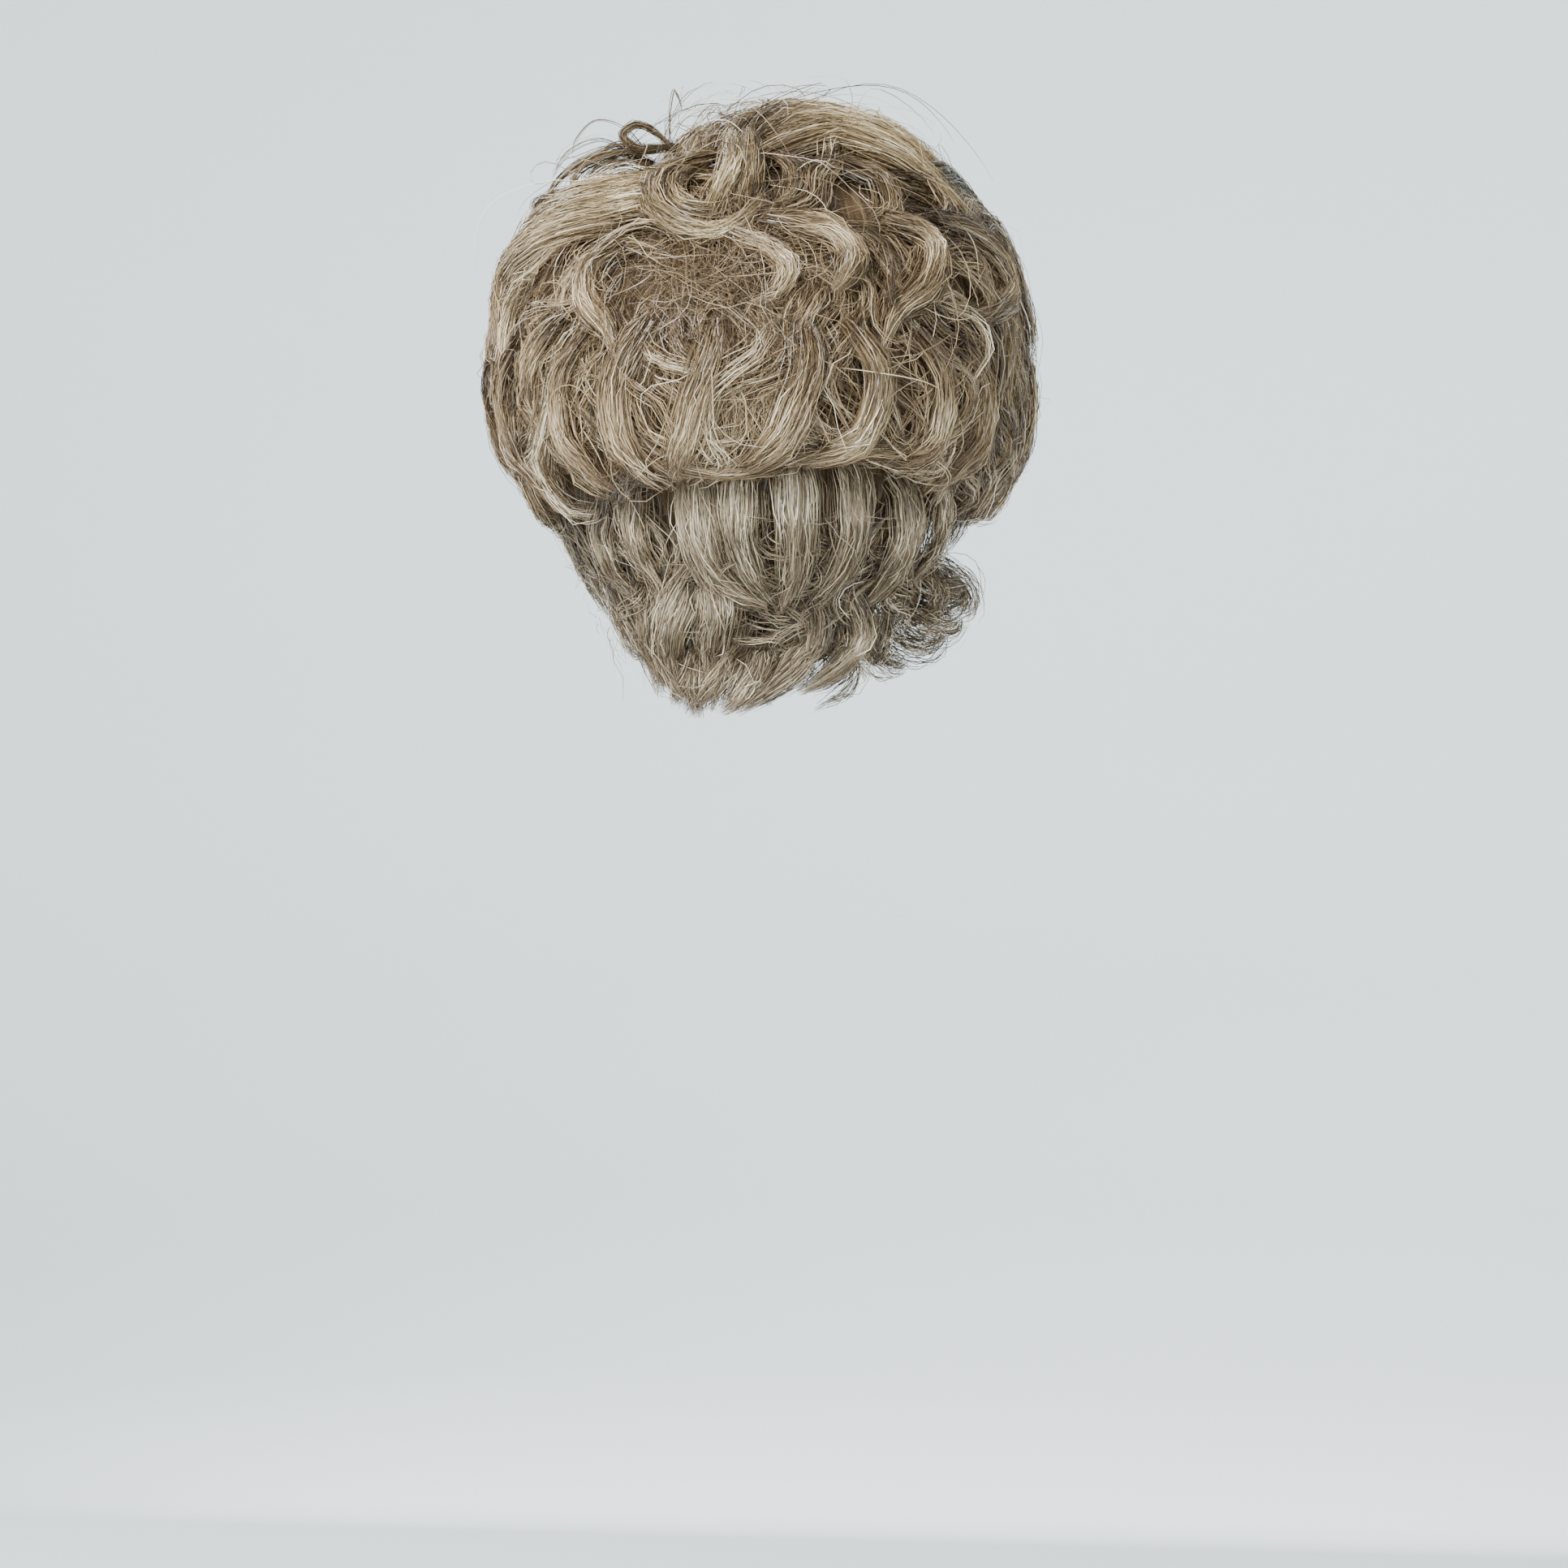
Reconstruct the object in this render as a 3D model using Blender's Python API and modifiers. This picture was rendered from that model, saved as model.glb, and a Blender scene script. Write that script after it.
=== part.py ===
"""A short, layered, wavy wig: a fitted cap under six sections of curled locks.

The wearer faces -Y and +Z is up. The origin is the top of the head, where the inside of the cap rests.
A place on the head is a turn and a fall, both in degrees. Turn goes round the head from the middle of the
back (0) over the wearer's right ear (90) to the forehead (180). Fall goes down from the crown (0) to the
head's widest ring (90) and on, at the same length for each degree, to the nape.
"""
import math

import bmesh
import bpy
from mathutils import Vector

# The head that the cap fits, and the hair on it. Lengths are in metres.
HEAD_HALF_WIDTH = 0.075
HEAD_BACK_DEPTH = 0.095
HEAD_FRONT_DEPTH = 0.093
CROWN_HEIGHT = 0.095
CAP_WALL = 0.0012
CAP_CLEARANCE = 0.0004
HAIR_DEPTH = 0.043
LOCK_WIDTH = 0.036
LOCK_THICKNESS = 0.015
LOCK_SINK = 0.30
SECTION_GAP = 0.0012
BACKING_INSET = 0.0003
ROOM_LOCKS = 1.5
MERGE_DISTANCE = 0.000001
CAP_COLOUR = (0.36, 0.29, 0.23)
CAP_ROUGHNESS = 0.8
HAIR_ROUGHNESS = 0.45

# Angles, in degrees of turn or fall, and shares that go with them: the power of the curve along which the
# nape hair rises, how much the hair by the face thins, and how near rows of the grid may lie, as a share of
# FALL_STEP.
CROWN_EDGE = 46.0
LAYER_OVERHANG = 12.0
SIDE_TURN = 60.0
FRINGE_TURN = 152.0
FRINGE_EDGE = 82.0
NAPE_TURN = 84.0
NAPE_EDGE = 158.0
NAPE_SIDE_EDGE = 116.0
NAPE_CURVE = 3.2
FACE_TURN = 110.0
FACE_FALL = 66.0
EAR_FALL = 104.0
FACE_SWEEP = 24.0
FACE_THINNING = 0.55
TIP_LENGTH = 16.0
TURN_STEP = 12.0
FALL_STEP = 8.0
ROW_SHARE = 0.25

# How the head narrows below its widest ring: the drop as a share of the crown height, then what is left of
# the width and of the depth at the back and at the front.
HEAD_TAPER = (
    # drop, side, back, front
    (0.00, 1.00, 1.00, 1.00),
    (0.26, 0.96, 0.95, 0.97),
    (0.58, 0.81, 0.80, 0.90),
    (0.90, 0.68, 0.67, 0.82),
    (1.40, 0.63, 0.62, 0.78),
)

# The cap's rim, as fall at each turn, on one half of the head.
CAP_RIM = (
    # turn, fall
    (0.0, 130.0),
    (40.0, 123.0),
    (66.0, 106.0),
    (84.0, 88.0),
    (98.0, 85.0),
    (112.0, 97.0),
    (128.0, 82.0),
    (150.0, 68.0),
    (180.0, 65.0),
)

# Where the upper layer ends over the nape hair, as fall at each turn: a shelf that is highest right of the
# middle of the back.
LAYER_LINE = (
    # turn, fall
    (-180.0, EAR_FALL),
    (-60.0, EAR_FALL),
    (-36.0, 102.0),
    (-18.0, 97.0),
    (4.0, 94.0),
    (24.0, 91.0),
    (38.0, 90.0),
    (50.0, 96.0),
    (60.0, EAR_FALL),
    (180.0, EAR_FALL),
)

# Depth of the upper hair on the head, as a share of HAIR_DEPTH.
UPPER_DEPTH = (
    # fall, back, right, front, left
    (0.0, 0.80, 0.80, 0.80, 0.80),
    (20.0, 0.76, 0.92, 0.84, 0.86),
    (35.0, 0.74, 1.02, 0.86, 1.00),
    (50.0, 0.72, 1.03, 0.80, 1.01),
    (65.0, 0.72, 0.89, 0.68, 0.87),
    (80.0, 0.72, 0.80, 0.56, 0.80),
    (95.0, 0.68, 0.71, 0.46, 0.68),
    (108.0, 0.60, 0.54, 0.36, 0.50),
)

# Depth of the nape hair, as a share of HAIR_DEPTH.
NAPE_DEPTH = (
    # fall, back, right, left
    (90.0, 0.42, 0.38, 0.34),
    (110.0, 0.38, 0.34, 0.24),
    (125.0, 0.32, 0.30, 0.16),
    (140.0, 0.25, 0.24, 0.13),
    (160.0, 0.16, 0.16, 0.11),
)

# Each table of locks has a row for a lock: where its root and its tip lie, its bow as a share of its length
# (positive bows towards the wearer's right where the lock hangs), its width as a share of LOCK_WIDTH, and
# how far its middle and its tip stand off the hair under it, as shares of LOCK_THICKNESS.
CROWN_LOCKS = (
    # turn, fall, tip turn, tip fall, bow, width, rise, flick
    (236.0, 24.0, 100.0, 40.0, -0.26, 1.20, 0.35, 0.00),
    (0.0, 10.0, 78.0, 43.0, -0.22, 1.10, 0.25, 0.10),
    (196.0, 8.0, 136.0, 45.0, 0.16, 1.15, 0.20, 0.10),
    (240.0, 22.0, 172.0, 46.0, 0.22, 1.10, 0.20, 0.10),
    (250.0, 32.0, 206.0, 46.0, 0.14, 0.90, 0.15, 0.10),
    (-16.0, 16.0, 38.0, 44.0, -0.24, 0.85, 0.25, 0.10),
    (8.0, 22.0, 17.0, 46.0, 0.26, 0.75, 0.30, 0.10),
    (-3.0, 44.0, -5.0, 22.0, 0.10, 0.60, 0.25, 0.80),
    (-14.0, 22.0, 1.0, 46.0, -0.42, 0.80, 0.35, 0.20),
    (-34.0, 14.0, -38.0, 44.0, 0.22, 0.50, 0.85, 0.00),
    (-57.0, 21.0, -71.0, 44.0, 0.20, 0.70, 0.55, 0.10),
    (-70.0, 14.0, -94.0, 45.0, -0.16, 1.10, 0.15, 0.10),
    (-116.0, 14.0, -128.0, 45.0, 0.18, 1.10, 0.20, 0.10),
)

BACK_LOCKS = (
    # turn, fall, tip turn, tip fall, bow, width, rise, flick
    (-8.0, 49.0, 13.0, 71.0, 0.42, 0.60, 0.25, 0.10),
    (17.0, 48.0, 28.0, 71.0, 0.36, 0.75, 0.30, 0.10),
    (37.0, 48.0, 41.0, 74.0, 0.40, 0.85, 0.30, 0.10),
    (56.0, 49.0, 52.0, 74.0, 0.34, 0.70, 0.20, 0.10),
    (-24.0, 48.0, -21.0, 76.0, -0.34, 0.90, 0.30, 0.10),
    (-46.0, 48.0, -52.0, 76.0, -0.24, 1.00, 0.20, 0.10),
    (2.0, 66.0, -1.0, 99.0, 0.12, 1.00, 0.15, 0.10),
    (-13.0, 70.0, -13.0, 105.0, -0.28, 0.85, 0.25, 0.20),
    (17.0, 70.0, 13.0, 103.0, 0.24, 0.90, 0.20, 0.15),
    (32.0, 72.0, 28.0, 103.0, 0.30, 0.85, 0.30, 0.20),
    (47.0, 71.0, 43.0, 102.0, 0.24, 0.85, 0.25, 0.15),
    (-30.0, 72.0, -26.0, 105.0, -0.26, 0.90, 0.25, 0.10),
    (-47.0, 73.0, -43.0, 106.0, -0.28, 0.90, 0.30, 0.10),
    (-4.0, 96.0, 24.0, 104.0, -0.26, 0.65, 0.40, 0.10),
)

RIGHT_LOCKS = (
    # turn, fall, tip turn, tip fall, bow, width, rise, flick
    (76.0, 48.0, 70.0, 76.0, 0.38, 0.90, 0.30, 0.10),
    (97.0, 48.0, 89.0, 77.0, 0.32, 1.00, 0.25, 0.10),
    (120.0, 48.0, 109.0, 78.0, 0.30, 1.05, 0.25, 0.10),
    (142.0, 49.0, 129.0, 80.0, 0.26, 0.95, 0.20, 0.10),
    (72.0, 72.0, 71.0, 107.0, 0.20, 0.90, 0.20, 0.10),
    (90.0, 73.0, 87.0, 108.0, 0.24, 1.00, 0.25, 0.10),
    (108.0, 73.0, 101.0, 108.0, 0.26, 1.00, 0.25, 0.10),
    (127.0, 75.0, 114.0, 107.0, 0.26, 0.90, 0.25, 0.10),
)

LEFT_LOCKS = (
    # turn, fall, tip turn, tip fall, bow, width, rise, flick
    (-74.0, 48.0, -72.0, 77.0, -0.26, 1.00, 0.25, 0.10),
    (-97.0, 48.0, -89.0, 77.0, -0.32, 1.00, 0.25, 0.10),
    (-120.0, 48.0, -109.0, 78.0, -0.30, 1.05, 0.25, 0.10),
    (-142.0, 49.0, -129.0, 80.0, -0.26, 0.95, 0.20, 0.10),
    (-71.0, 74.0, -69.0, 107.0, -0.24, 0.90, 0.25, 0.10),
    (-89.0, 73.0, -86.0, 108.0, -0.22, 1.00, 0.20, 0.10),
    (-108.0, 73.0, -101.0, 108.0, -0.26, 1.00, 0.25, 0.10),
    (-127.0, 75.0, -114.0, 107.0, -0.26, 0.90, 0.25, 0.10),
)

FRINGE_LOCKS = (
    # turn, fall, tip turn, tip fall, bow, width, rise, flick
    (204.0, 48.0, 195.0, 84.0, 0.24, 0.90, 0.25, 0.10),
    (192.0, 48.0, 181.0, 88.0, 0.26, 0.95, 0.30, 0.10),
    (179.0, 48.0, 168.0, 87.0, 0.24, 0.90, 0.25, 0.10),
    (166.0, 48.0, 157.0, 82.0, 0.20, 0.85, 0.20, 0.10),
)

NAPE_LOCKS = (
    # turn, fall, tip turn, tip fall, bow, width, rise, flick
    (-5.0, 108.0, 9.0, 129.0, -0.30, 0.75, 0.35, 0.10),
    (12.0, 108.0, 15.0, 130.0, 0.18, 0.80, 0.30, 0.10),
    (31.0, 107.0, 30.0, 133.0, 0.22, 0.85, 0.30, 0.10),
    (51.0, 107.0, 51.0, 132.0, 0.24, 0.80, 0.30, 0.10),
    (-23.0, 108.0, -19.0, 130.0, -0.24, 0.80, 0.25, 0.10),
    (-44.0, 108.0, -37.0, 133.0, -0.20, 0.80, 0.25, 0.10),
    (-66.0, 107.0, -57.0, 128.0, -0.18, 0.75, 0.20, 0.10),
    (-7.0, 124.0, -14.0, 158.0, -0.26, 0.85, 0.40, 0.10),
    (5.0, 124.0, 10.0, 148.0, 0.20, 0.60, 0.30, 0.10),
    (42.0, 128.0, 8.0, 162.0, 0.30, 0.85, 0.40, 0.10),
    (57.0, 128.0, 54.0, 151.0, 0.18, 0.65, 0.30, 0.15),
    (60.0, 112.0, 86.0, 125.0, -0.34, 0.50, 0.35, 0.80),
    (62.0, 123.0, 87.0, 138.0, -0.36, 0.50, 0.35, 0.80),
    (-29.0, 126.0, -25.0, 155.0, -0.18, 0.75, 0.25, 0.10),
    (-50.0, 127.0, -42.0, 148.0, -0.16, 0.70, 0.20, 0.10),
)

# The hair sections: turn and fall ranges, what is left of the depth at the free tips, and how far the locks
# may hang past the section's lower edge. Leaning edges are those where the upper layer hangs over the nape.
SECTIONS = (
    # name, from turn, to turn, from fall, to fall, tip depth, overrun, leans at top, leans at foot, colour
    ("crown_hair", 0.0, 360.0, 0.0, CROWN_EDGE, 1.00, 0.0, False, False, (0.50, 0.42, 0.32)),
    ("back_hair", -SIDE_TURN, SIDE_TURN, CROWN_EDGE, EAR_FALL, 0.90, 0.0, False, True, (0.42, 0.35, 0.29)),
    ("right_side_hair", SIDE_TURN, FRINGE_TURN, CROWN_EDGE, EAR_FALL, 0.55, 0.0, False, True,
     (0.40, 0.34, 0.29)),
    ("left_side_hair", -FRINGE_TURN, -SIDE_TURN, CROWN_EDGE, EAR_FALL, 0.55, 0.0, False, True,
     (0.39, 0.33, 0.28)),
    ("fringe_hair", FRINGE_TURN, 360.0 - FRINGE_TURN, CROWN_EDGE, FRINGE_EDGE, 0.45, 14.0, False, False,
     (0.48, 0.41, 0.33)),
    ("nape_hair", -NAPE_TURN, NAPE_TURN, EAR_FALL, NAPE_EDGE, 0.60, 16.0, True, False, (0.45, 0.40, 0.36)),
)

SECTION_LOCKS = {
    "crown_hair": CROWN_LOCKS,
    "back_hair": BACK_LOCKS,
    "right_side_hair": RIGHT_LOCKS,
    "left_side_hair": LEFT_LOCKS,
    "fringe_hair": FRINGE_LOCKS,
    "nape_hair": NAPE_LOCKS,
}

# How a lock is drawn: its cross-sections along its length, and the five points of each, as shares of half
# its width and half its thickness.
LOCK_PROFILE = (
    # along, width, thickness
    (0.00, 0.50, 0.30),
    (0.18, 0.88, 0.85),
    (0.42, 1.00, 1.00),
    (0.66, 0.90, 0.95),
    (0.86, 0.58, 0.70),
    (1.00, 0.16, 0.25),
)
LENS = (
    # across, out
    (-1.0, 0.0),
    (-0.5, 0.85),
    (0.5, 0.85),
    (1.0, 0.0),
    (0.0, -0.85),
)


def clear_scene():
    for found in list(bpy.data.objects):
        bpy.data.objects.remove(found, do_unlink=True)


def read_table(rows, column, place):
    """A smooth value from a table, held level beyond its first and last rows."""
    places = [row[0] for row in rows]
    values = [row[column] for row in rows]
    if place <= places[0]:
        return values[0]
    if place >= places[-1]:
        return values[-1]
    last = len(rows) - 1
    k = max(i for i in range(last) if places[i] <= place)
    slopes = []
    for i in (k, k + 1):
        before = max(i - 1, 0)
        after = min(i + 1, last)
        slopes.append((values[after] - values[before]) / (places[after] - places[before]))
    span = places[k + 1] - places[k]
    t = (place - places[k]) / span
    held = (1 + 2 * t) * (1 - t) ** 2 * values[k] + t * t * (3 - 2 * t) * values[k + 1]
    return held + span * (t * (1 - t) ** 2 * slopes[0] - t * t * (1 - t) * slopes[1])


def degree_length():
    """The length of one degree of fall below the head's widest ring."""
    return math.radians(CROWN_HEIGHT)


def share_round(turn):
    """How much a turn belongs to the back, the right, the front and the left."""
    back = math.cos(math.radians(turn))
    right = math.sin(math.radians(turn))
    return (max(back, 0) ** 2, max(right, 0) ** 2, max(-back, 0) ** 2, max(-right, 0) ** 2)


def head_point(turn, fall):
    """The point of the head at a turn and a fall."""
    dome = math.radians(min(fall, 90.0))
    drop = max(fall - 90.0, 0.0) * degree_length()
    back, right, front, left = share_round(turn)
    at = drop / CROWN_HEIGHT
    taper = (right + left) * read_table(HEAD_TAPER, 1, at)
    taper += back * read_table(HEAD_TAPER, 2, at) + front * read_table(HEAD_TAPER, 3, at)
    reach = math.sin(dome) * taper
    ahead = math.cos(math.radians(turn))
    depth = HEAD_BACK_DEPTH if ahead > 0 else HEAD_FRONT_DEPTH
    x = -HEAD_HALF_WIDTH * math.sin(math.radians(turn)) * reach
    return Vector((x, depth * ahead * reach, -CROWN_HEIGHT * (1 - math.cos(dome)) - drop))


def head_normal(turn, fall):
    """The direction straight out of the head."""
    if fall < 1.0:
        return Vector((0, 0, 1))
    round_it = head_point(turn + 1.0, fall) - head_point(turn - 1.0, fall)
    down_it = head_point(turn, fall + 1.0) - head_point(turn, fall - 1.0)
    return round_it.cross(down_it).normalized() * -1.0


def head_place(point):
    """The turn and fall of the place on the head that a point lies over."""
    depth = HEAD_BACK_DEPTH if point.y > 0 else HEAD_FRONT_DEPTH
    aside = -point.x / HEAD_HALF_WIDTH
    ahead = point.y / depth
    turn = math.degrees(math.atan2(aside, ahead))
    above = 1 + point.z / CROWN_HEIGHT
    if above < 0:
        return turn, 90.0 - above * CROWN_HEIGHT / degree_length()
    return turn, math.degrees(math.atan2(math.hypot(aside, ahead), above))


def lifted(turn, fall, lift):
    return head_point(turn, fall) + head_normal(turn, fall) * lift


def nape_foot(turn, foot):
    """The nape hair is longest in the middle and rises behind the ears."""
    return foot - (NAPE_EDGE - NAPE_SIDE_EDGE) * (abs(turn) / NAPE_TURN) ** NAPE_CURVE


def face_share(turn, fall):
    """How far a place lies in the hair that frames the face, from 0 to 1."""
    turned = (abs(turn) - FACE_TURN) / (FRINGE_TURN - FACE_TURN)
    fallen = (fall - FACE_FALL) / (EAR_FALL - FACE_FALL)
    return max(turned, 0.0) * max(min(fallen, 1.0), 0.0)


def hair_depth(section, turn, fall):
    """Depth of a section's backing, thinned towards its free tips."""
    name, _, _, _, foot, tip_depth = section[:6]
    back, right, front, left = share_round(turn)
    if name == "nape_hair":
        columns = ((1, back), (2, right), (3, left))
        share = sum(part * read_table(NAPE_DEPTH, column, fall) for column, part in columns)
        foot = nape_foot(turn, foot)
    else:
        columns = ((1, back), (2, right), (3, front), (4, left))
        share = sum(part * read_table(UPPER_DEPTH, column, fall) for column, part in columns)
        foot = min(foot, read_table(LAYER_LINE, 1, turn))
    if name.endswith("side_hair"):
        share *= 1 - FACE_THINNING * face_share(turn, fall)
    near_foot = max(0.0, min(1.0, (fall - foot) / TIP_LENGTH + 1))
    return HAIR_DEPTH * share * (1 + (tip_depth - 1) * near_foot ** 2)


def steps(first, last, step):
    """First, last and each whole multiple of the step that lies well between them."""
    found = [first]
    count = math.ceil(first / step)
    while count * step < last:
        if first + step * ROW_SHARE < count * step < last - step * ROW_SHARE:
            found.append(count * step)
        count += 1
    return found + [last]


def section_mesh(section, lift_of, overrun, inset, name):
    """A closed block of hair between the cap and a lift, with a gap left to the sections beside it."""
    label, turn_from, turn_to, top, foot, _, _, leans_top, leans_foot, _ = section
    whole = turn_to - turn_from >= 360.0
    gap = 0.5 * SECTION_GAP + inset
    gap_fall = gap / degree_length()
    gap_turn = math.degrees(gap / HEAD_HALF_WIDTH)
    if whole:
        turns = steps(turn_from, turn_to, TURN_STEP)[:-1]
    else:
        turns = steps(turn_from + gap_turn, turn_to - gap_turn, TURN_STEP)
    first = top + gap_fall if top > 0 else 0.0
    last = foot - gap_fall + overrun
    falls = steps(first, last, FALL_STEP)
    mesh = bmesh.new()
    inner_lift = CAP_WALL + CAP_CLEARANCE + inset
    inner = []
    outer = []
    for turn in turns:
        inner_row = []
        outer_row = []
        for row_number, fall in enumerate(falls):
            down = (fall - first) / (last - first)
            at = fall
            round_to = turn
            line = read_table(LAYER_LINE, 1, turn)
            if leans_top:
                above = line + gap_fall
                at = above + down * (nape_foot(turn, last) - above)
            if leans_foot:
                rows_below = len(falls) - 1 - row_number
                at = min(fall, line - gap_fall - FALL_STEP * ROW_SHARE * rows_below)
            if label.endswith("side_hair"):
                round_to = turn - math.copysign(FACE_SWEEP * face_share(turn, fall) ** 2, turn)
            lean = (1 - down) * leans_top + down * leans_foot
            outer_lift = max(lift_of(turn, at), inner_lift + CAP_WALL)
            for row, lift in ((inner_row, inner_lift), (outer_row, outer_lift)):
                leaned = at + LAYER_OVERHANG * lean * lift / HAIR_DEPTH
                row.append(mesh.verts.new(lifted(round_to, leaned, lift)))
        inner.append(inner_row)
        outer.append(outer_row)
    count = len(turns)
    rings = range(count) if whole else range(count - 1)
    for i in rings:
        k = (i + 1) % count
        for j in range(len(falls) - 1):
            mesh.faces.new((outer[i][j], outer[k][j], outer[k][j + 1], outer[i][j + 1]))
            mesh.faces.new((inner[i][j + 1], inner[k][j + 1], inner[k][j], inner[i][j]))
        edges = (0, -1) if top > 0 else (-1,)
        for j in edges:
            mesh.faces.new((inner[i][j], inner[k][j], outer[k][j]))
            mesh.faces.new((inner[i][j], outer[k][j], outer[i][j]))
    if not whole:
        for i in (0, -1):
            for j in range(len(falls) - 1):
                mesh.faces.new((inner[i][j], outer[i][j], outer[i][j + 1]))
                mesh.faces.new((inner[i][j], outer[i][j + 1], inner[i][j + 1]))
    bmesh.ops.remove_doubles(mesh, verts=mesh.verts, dist=MERGE_DISTANCE)
    bmesh.ops.recalc_face_normals(mesh, faces=mesh.faces)
    data = bpy.data.meshes.new(name)
    mesh.to_mesh(data)
    mesh.free()
    return data


def lock_mesh(section, row, name):
    """One lock: a lens-shaped strand that lies along the hair, sunk a little into it."""
    turn, fall, tip_turn, tip_fall, bow, width, rise, flick = row
    root = head_point(turn, fall)
    tip = head_point(tip_turn, tip_fall)
    along = tip - root
    middle = head_place((root + tip) / 2)
    side = along.cross(head_normal(*middle)).normalized()
    centres = []
    for share, _, _ in LOCK_PROFILE:
        point = root + along * share + side * (4 * bow * share * (1 - share) * along.length)
        at = head_place(point)
        stand = rise * math.sin(math.pi * share) + flick * share ** 3 - LOCK_SINK
        lift = hair_depth(section, *at) + stand * LOCK_THICKNESS
        centres.append((lifted(*at, lift), head_normal(*at)))
    mesh = bmesh.new()
    rings = []
    last = len(centres) - 1
    for k, (share, wide, thick) in enumerate(LOCK_PROFILE):
        centre, out = centres[k]
        ahead = (centres[min(k + 1, last)][0] - centres[max(k - 1, 0)][0]).normalized()
        across = ahead.cross(out).normalized()
        up = across.cross(ahead).normalized()
        half_width = 0.5 * LOCK_WIDTH * width * wide
        half_thickness = 0.5 * LOCK_THICKNESS * thick
        rings.append([
            mesh.verts.new(centre + across * (half_width * a) + up * (half_thickness * b))
            for a, b in LENS
        ])
    sides = len(LENS)
    for near, far in zip(rings, rings[1:]):
        for i in range(sides):
            k = (i + 1) % sides
            mesh.faces.new((near[i], near[k], far[k], far[i]))
    mesh.faces.new(rings[0])
    mesh.faces.new(rings[-1])
    bmesh.ops.recalc_face_normals(mesh, faces=mesh.faces)
    data = bpy.data.meshes.new(name)
    mesh.to_mesh(data)
    mesh.free()
    return data


def cap_mesh():
    """The cap's inside as an open sheet that follows the head down to the rim."""
    mesh = bmesh.new()
    columns = []
    turns = steps(0.0, 360.0, TURN_STEP)[:-1]
    deepest = max(fall for _, fall in CAP_RIM)
    falls = steps(0.0, deepest, FALL_STEP)
    for turn in turns:
        rim = read_table(CAP_RIM, 1, min(turn, 360.0 - turn))
        column = []
        for fall in falls:
            column.append(mesh.verts.new(head_point(turn, min(fall, rim))))
        columns.append(column)
    for i, column in enumerate(columns):
        beside = columns[(i + 1) % len(columns)]
        for j in range(len(falls) - 1):
            mesh.faces.new((column[j], beside[j], beside[j + 1], column[j + 1]))
    bmesh.ops.remove_doubles(mesh, verts=mesh.verts, dist=MERGE_DISTANCE)
    bmesh.ops.recalc_face_normals(mesh, faces=mesh.faces)
    data = bpy.data.meshes.new("wig_cap")
    mesh.to_mesh(data)
    mesh.free()
    return data


def finish(name, base_color, roughness):
    """A plain material for one piece."""
    material = bpy.data.materials.new(name)
    material.use_nodes = True
    shader = material.node_tree.nodes["Principled BSDF"]
    shader.inputs["Base Color"].default_value = (*base_color, 1.0)
    shader.inputs["Roughness"].default_value = roughness
    shader.inputs["Metallic"].default_value = 0.0
    return material


def place(collection, name, data, material):
    made = bpy.data.objects.new(name, data)
    made.data.materials.append(material)
    collection.objects.link(made)
    return made


def combine(body, tool, operation):
    """Join a tool to a body, or keep only what lies in both, and drop the tool."""
    change = body.modifiers.new(operation.lower(), "BOOLEAN")
    change.operation = operation
    change.solver = "EXACT"
    change.object = tool
    bpy.context.view_layer.update()
    evaluated = body.evaluated_get(bpy.context.evaluated_depsgraph_get())
    result = bpy.data.meshes.new_from_object(evaluated)
    body.modifiers.clear()
    old = body.data
    body.data = result
    result.name = body.name
    bpy.data.meshes.remove(old)
    bpy.data.objects.remove(tool, do_unlink=True)


def fill_pockets(body):
    """Drop the small sealed shells that are left inside where locks cross, so that the hair is solid there."""
    mesh = bmesh.new()
    mesh.from_mesh(body.data)
    mesh.faces.ensure_lookup_table()
    waiting = set(mesh.faces)
    shells = []
    while waiting:
        shell = []
        reached = [waiting.pop()]
        while reached:
            face = reached.pop()
            shell.append(face)
            beside = {other for edge in face.edges for other in edge.link_faces} & waiting
            waiting -= beside
            reached.extend(beside)
        shells.append(shell)
    shells.sort(key=len)
    for shell in shells[:-1]:
        bmesh.ops.delete(mesh, geom=shell, context="FACES")
    mesh.to_mesh(body.data)
    mesh.free()


def build_cap(collection):
    material = finish("cap_net", CAP_COLOUR, CAP_ROUGHNESS)
    cap = place(collection, "wig_cap", cap_mesh(), material)
    wall = cap.modifiers.new("wall", "SOLIDIFY")
    wall.thickness = CAP_WALL
    wall.offset = 1.0
    return cap


def build_section(collection, cutters, section):
    """A hair section: its backing with every lock fused to it, cut clear of the sections beside it."""
    name, _, _, _, _, _, overrun, _, _, colour = section
    material = finish(name, colour, HAIR_ROUGHNESS)

    def backing_lift(turn, fall):
        return hair_depth(section, turn, fall)

    def room_lift(turn, fall):
        return HAIR_DEPTH + ROOM_LOCKS * LOCK_THICKNESS

    body = place(collection, name, section_mesh(section, backing_lift, 0.0, BACKING_INSET, name), material)
    for row in SECTION_LOCKS[name]:
        lock = place(cutters, name + "_lock", lock_mesh(section, row, name + "_lock"), material)
        combine(body, lock, "UNION")
    room = place(cutters, name + "_room", section_mesh(section, room_lift, overrun, 0.0, name + "_room"), material)
    combine(body, room, "INTERSECT")
    fill_pockets(body)
    return body


def main():
    clear_scene()
    wig = bpy.data.collections.new("wig")
    cutters = bpy.data.collections.new("cutters")
    for collection in (wig, cutters):
        bpy.context.scene.collection.children.link(collection)
    build_cap(wig)
    for section in SECTIONS:
        build_section(wig, cutters, section)


main()
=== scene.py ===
"""A short, layered, wavy wig: its cap and sewn wefts, the mass of the hair, and the fibres of every lock.

A place on the head is a turn and a fall in degrees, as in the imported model. Turn goes round from the middle
of the back (0) over the wearer's right ear (90) to the forehead (180). Fall goes down from the crown.
"""
import math

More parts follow.
